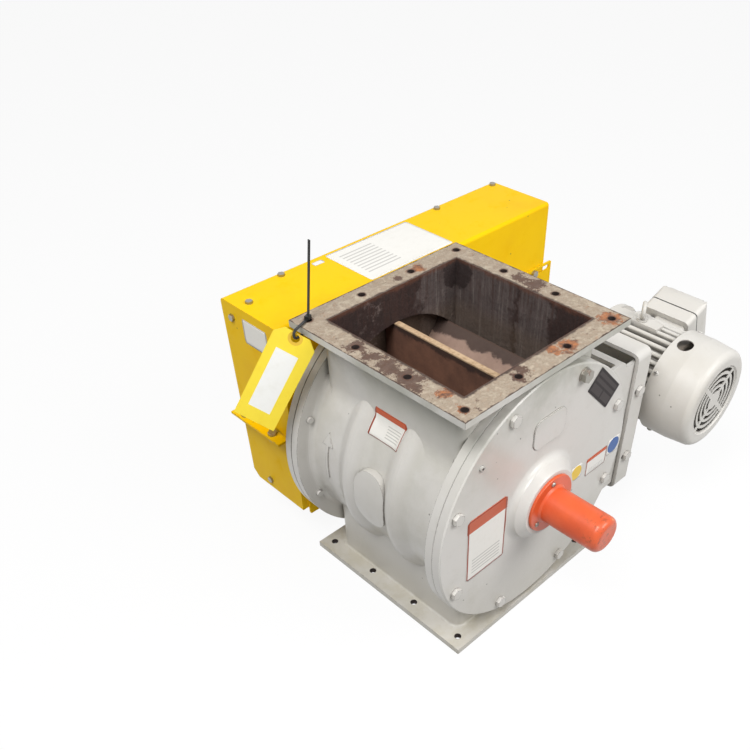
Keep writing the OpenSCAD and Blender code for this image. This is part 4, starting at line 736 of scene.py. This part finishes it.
def make_guard_labels():
    """Two stickers on the guard's top and one on its side."""
    start_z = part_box("guard_upper")[1].z + 0.01
    label("label_guard_top", "guard_upper", (0.1065, 0.255, start_z), (1, 0, 0), (0, -1, 0),
          (0.178, 0.112), GUIDE_FILM)
    label("label_guard_small", "guard_upper", (-0.004, 0.301, start_z), (1, 0, 0), (0, -1, 0),
          (0.020, 0.011), PLAIN_FILM)
    label("label_guard_side", "guard_upper", (-0.19, 0.242, 0.383), (0, -1, 0), (0, 0, -1),
          (0.058, 0.040), PLAIN_FILM)


# ---- floor, light and camera ------------------------------------------------

def seen_directly(t):
    """1 for what the camera sees straight, in a reflection or through glass."""
    rays = t.add("ShaderNodeLightPath").outputs
    return t.either(rays["Is Camera Ray"], rays["Is Glossy Ray"], rays["Is Transmission Ray"])


def make_floor():
    """A white floor that glows for the camera, yet keeps a soft share of the shadow."""
    half = 6.0
    mesh = bpy.data.meshes.new("floor")
    mesh.from_pydata([(-half, -half, 0), (half, -half, 0), (half, half, 0), (-half, half, 0)],
                     [], [(0, 1, 2, 3)])
    floor = bpy.data.objects.new("floor", mesh)
    bpy.context.scene.collection.objects.link(floor)
    t = Tree("floor")
    seen = seen_directly(t)
    shader = t.add("ShaderNodeBsdfDiffuse")
    t.feed(shader.inputs["Color"], t.mix(seen, rgb(150, 150, 148), rgb(246, 246, 246)))
    mix = t.add("ShaderNodeMixShader")
    t.feed(mix.inputs[0], t.math("MULTIPLY", seen, FLOOR_GLOW))
    t.feed(mix.inputs[1], shader.outputs[0])
    t.feed(mix.inputs[2], t.add("ShaderNodeEmission").outputs[0])
    output = t.add("ShaderNodeOutputMaterial")
    t.feed(output.inputs[0], mix.outputs[0])
    mesh.materials.append(t.material)


def make_world():
    """White surroundings, which the object itself gets only a share of."""
    world = bpy.data.worlds.new("studio")
    bpy.context.scene.world = world
    t = Tree("studio", world)
    background = t.add("ShaderNodeBackground")
    t.feed(background.inputs["Color"], (1.0, 1.0, 1.0, 1.0))
    t.feed(background.inputs["Strength"], t.blend(seen_directly(t), AMBIENT, 1.0))
    output = t.add("ShaderNodeOutputWorld")
    t.feed(output.inputs[0], background.outputs[0])


def area_light(name, place, target, size, power):
    """A round soft lamp at place that shines at target."""
    light = bpy.data.lights.new(name, "AREA")
    light.shape = "DISK"
    light.size = size
    light.energy = power
    lamp = bpy.data.objects.new(name, light)
    lamp.location = place
    lamp.rotation_euler = (Vector(target) - Vector(place)).to_track_quat("-Z", "Y").to_euler()
    bpy.context.scene.collection.objects.link(lamp)


def make_lights():
    middle = (0.1, 0.0, 0.2)
    area_light("key", (0.6, -1.9, 1.9), middle, 1.6, 42)
    area_light("side", (-1.5, -0.4, 2.8), middle, 1.5, 68)


def make_camera():
    """Stands where the photograph was taken from. The shift gives its framing."""
    place = Vector((-0.7258, -0.6697, 1.0144))
    azimuth = math.radians(-44.75)
    elevation = math.radians(43.89)
    roll = math.radians(-0.41)
    forward = Vector((-math.sin(azimuth) * math.cos(elevation),
                      math.cos(azimuth) * math.cos(elevation), -math.sin(elevation)))
    right = forward.cross(Vector((0, 0, 1))).normalized()
    up = right.cross(forward)
    turned_right = right * math.cos(roll) + up * math.sin(roll)
    turned_up = up * math.cos(roll) - right * math.sin(roll)
    data = bpy.data.cameras.new("camera")
    data.sensor_width = 36
    data.lens = 39.13
    data.shift_x = -0.072
    data.shift_y = 0.1905
    camera = bpy.data.objects.new("camera", data)
    turn = Matrix((turned_right, turned_up, -forward)).transposed()
    camera.matrix_world = Matrix.Translation(place) @ turn.to_4x4()
    bpy.context.scene.collection.objects.link(camera)
    bpy.context.scene.camera = camera


dress_nodes()
make_plate_labels()
make_barrel_label()
make_guard_labels()
make_floor()
make_world()
make_lights()
make_camera()
bpy.context.scene.view_settings.view_transform = "Standard"
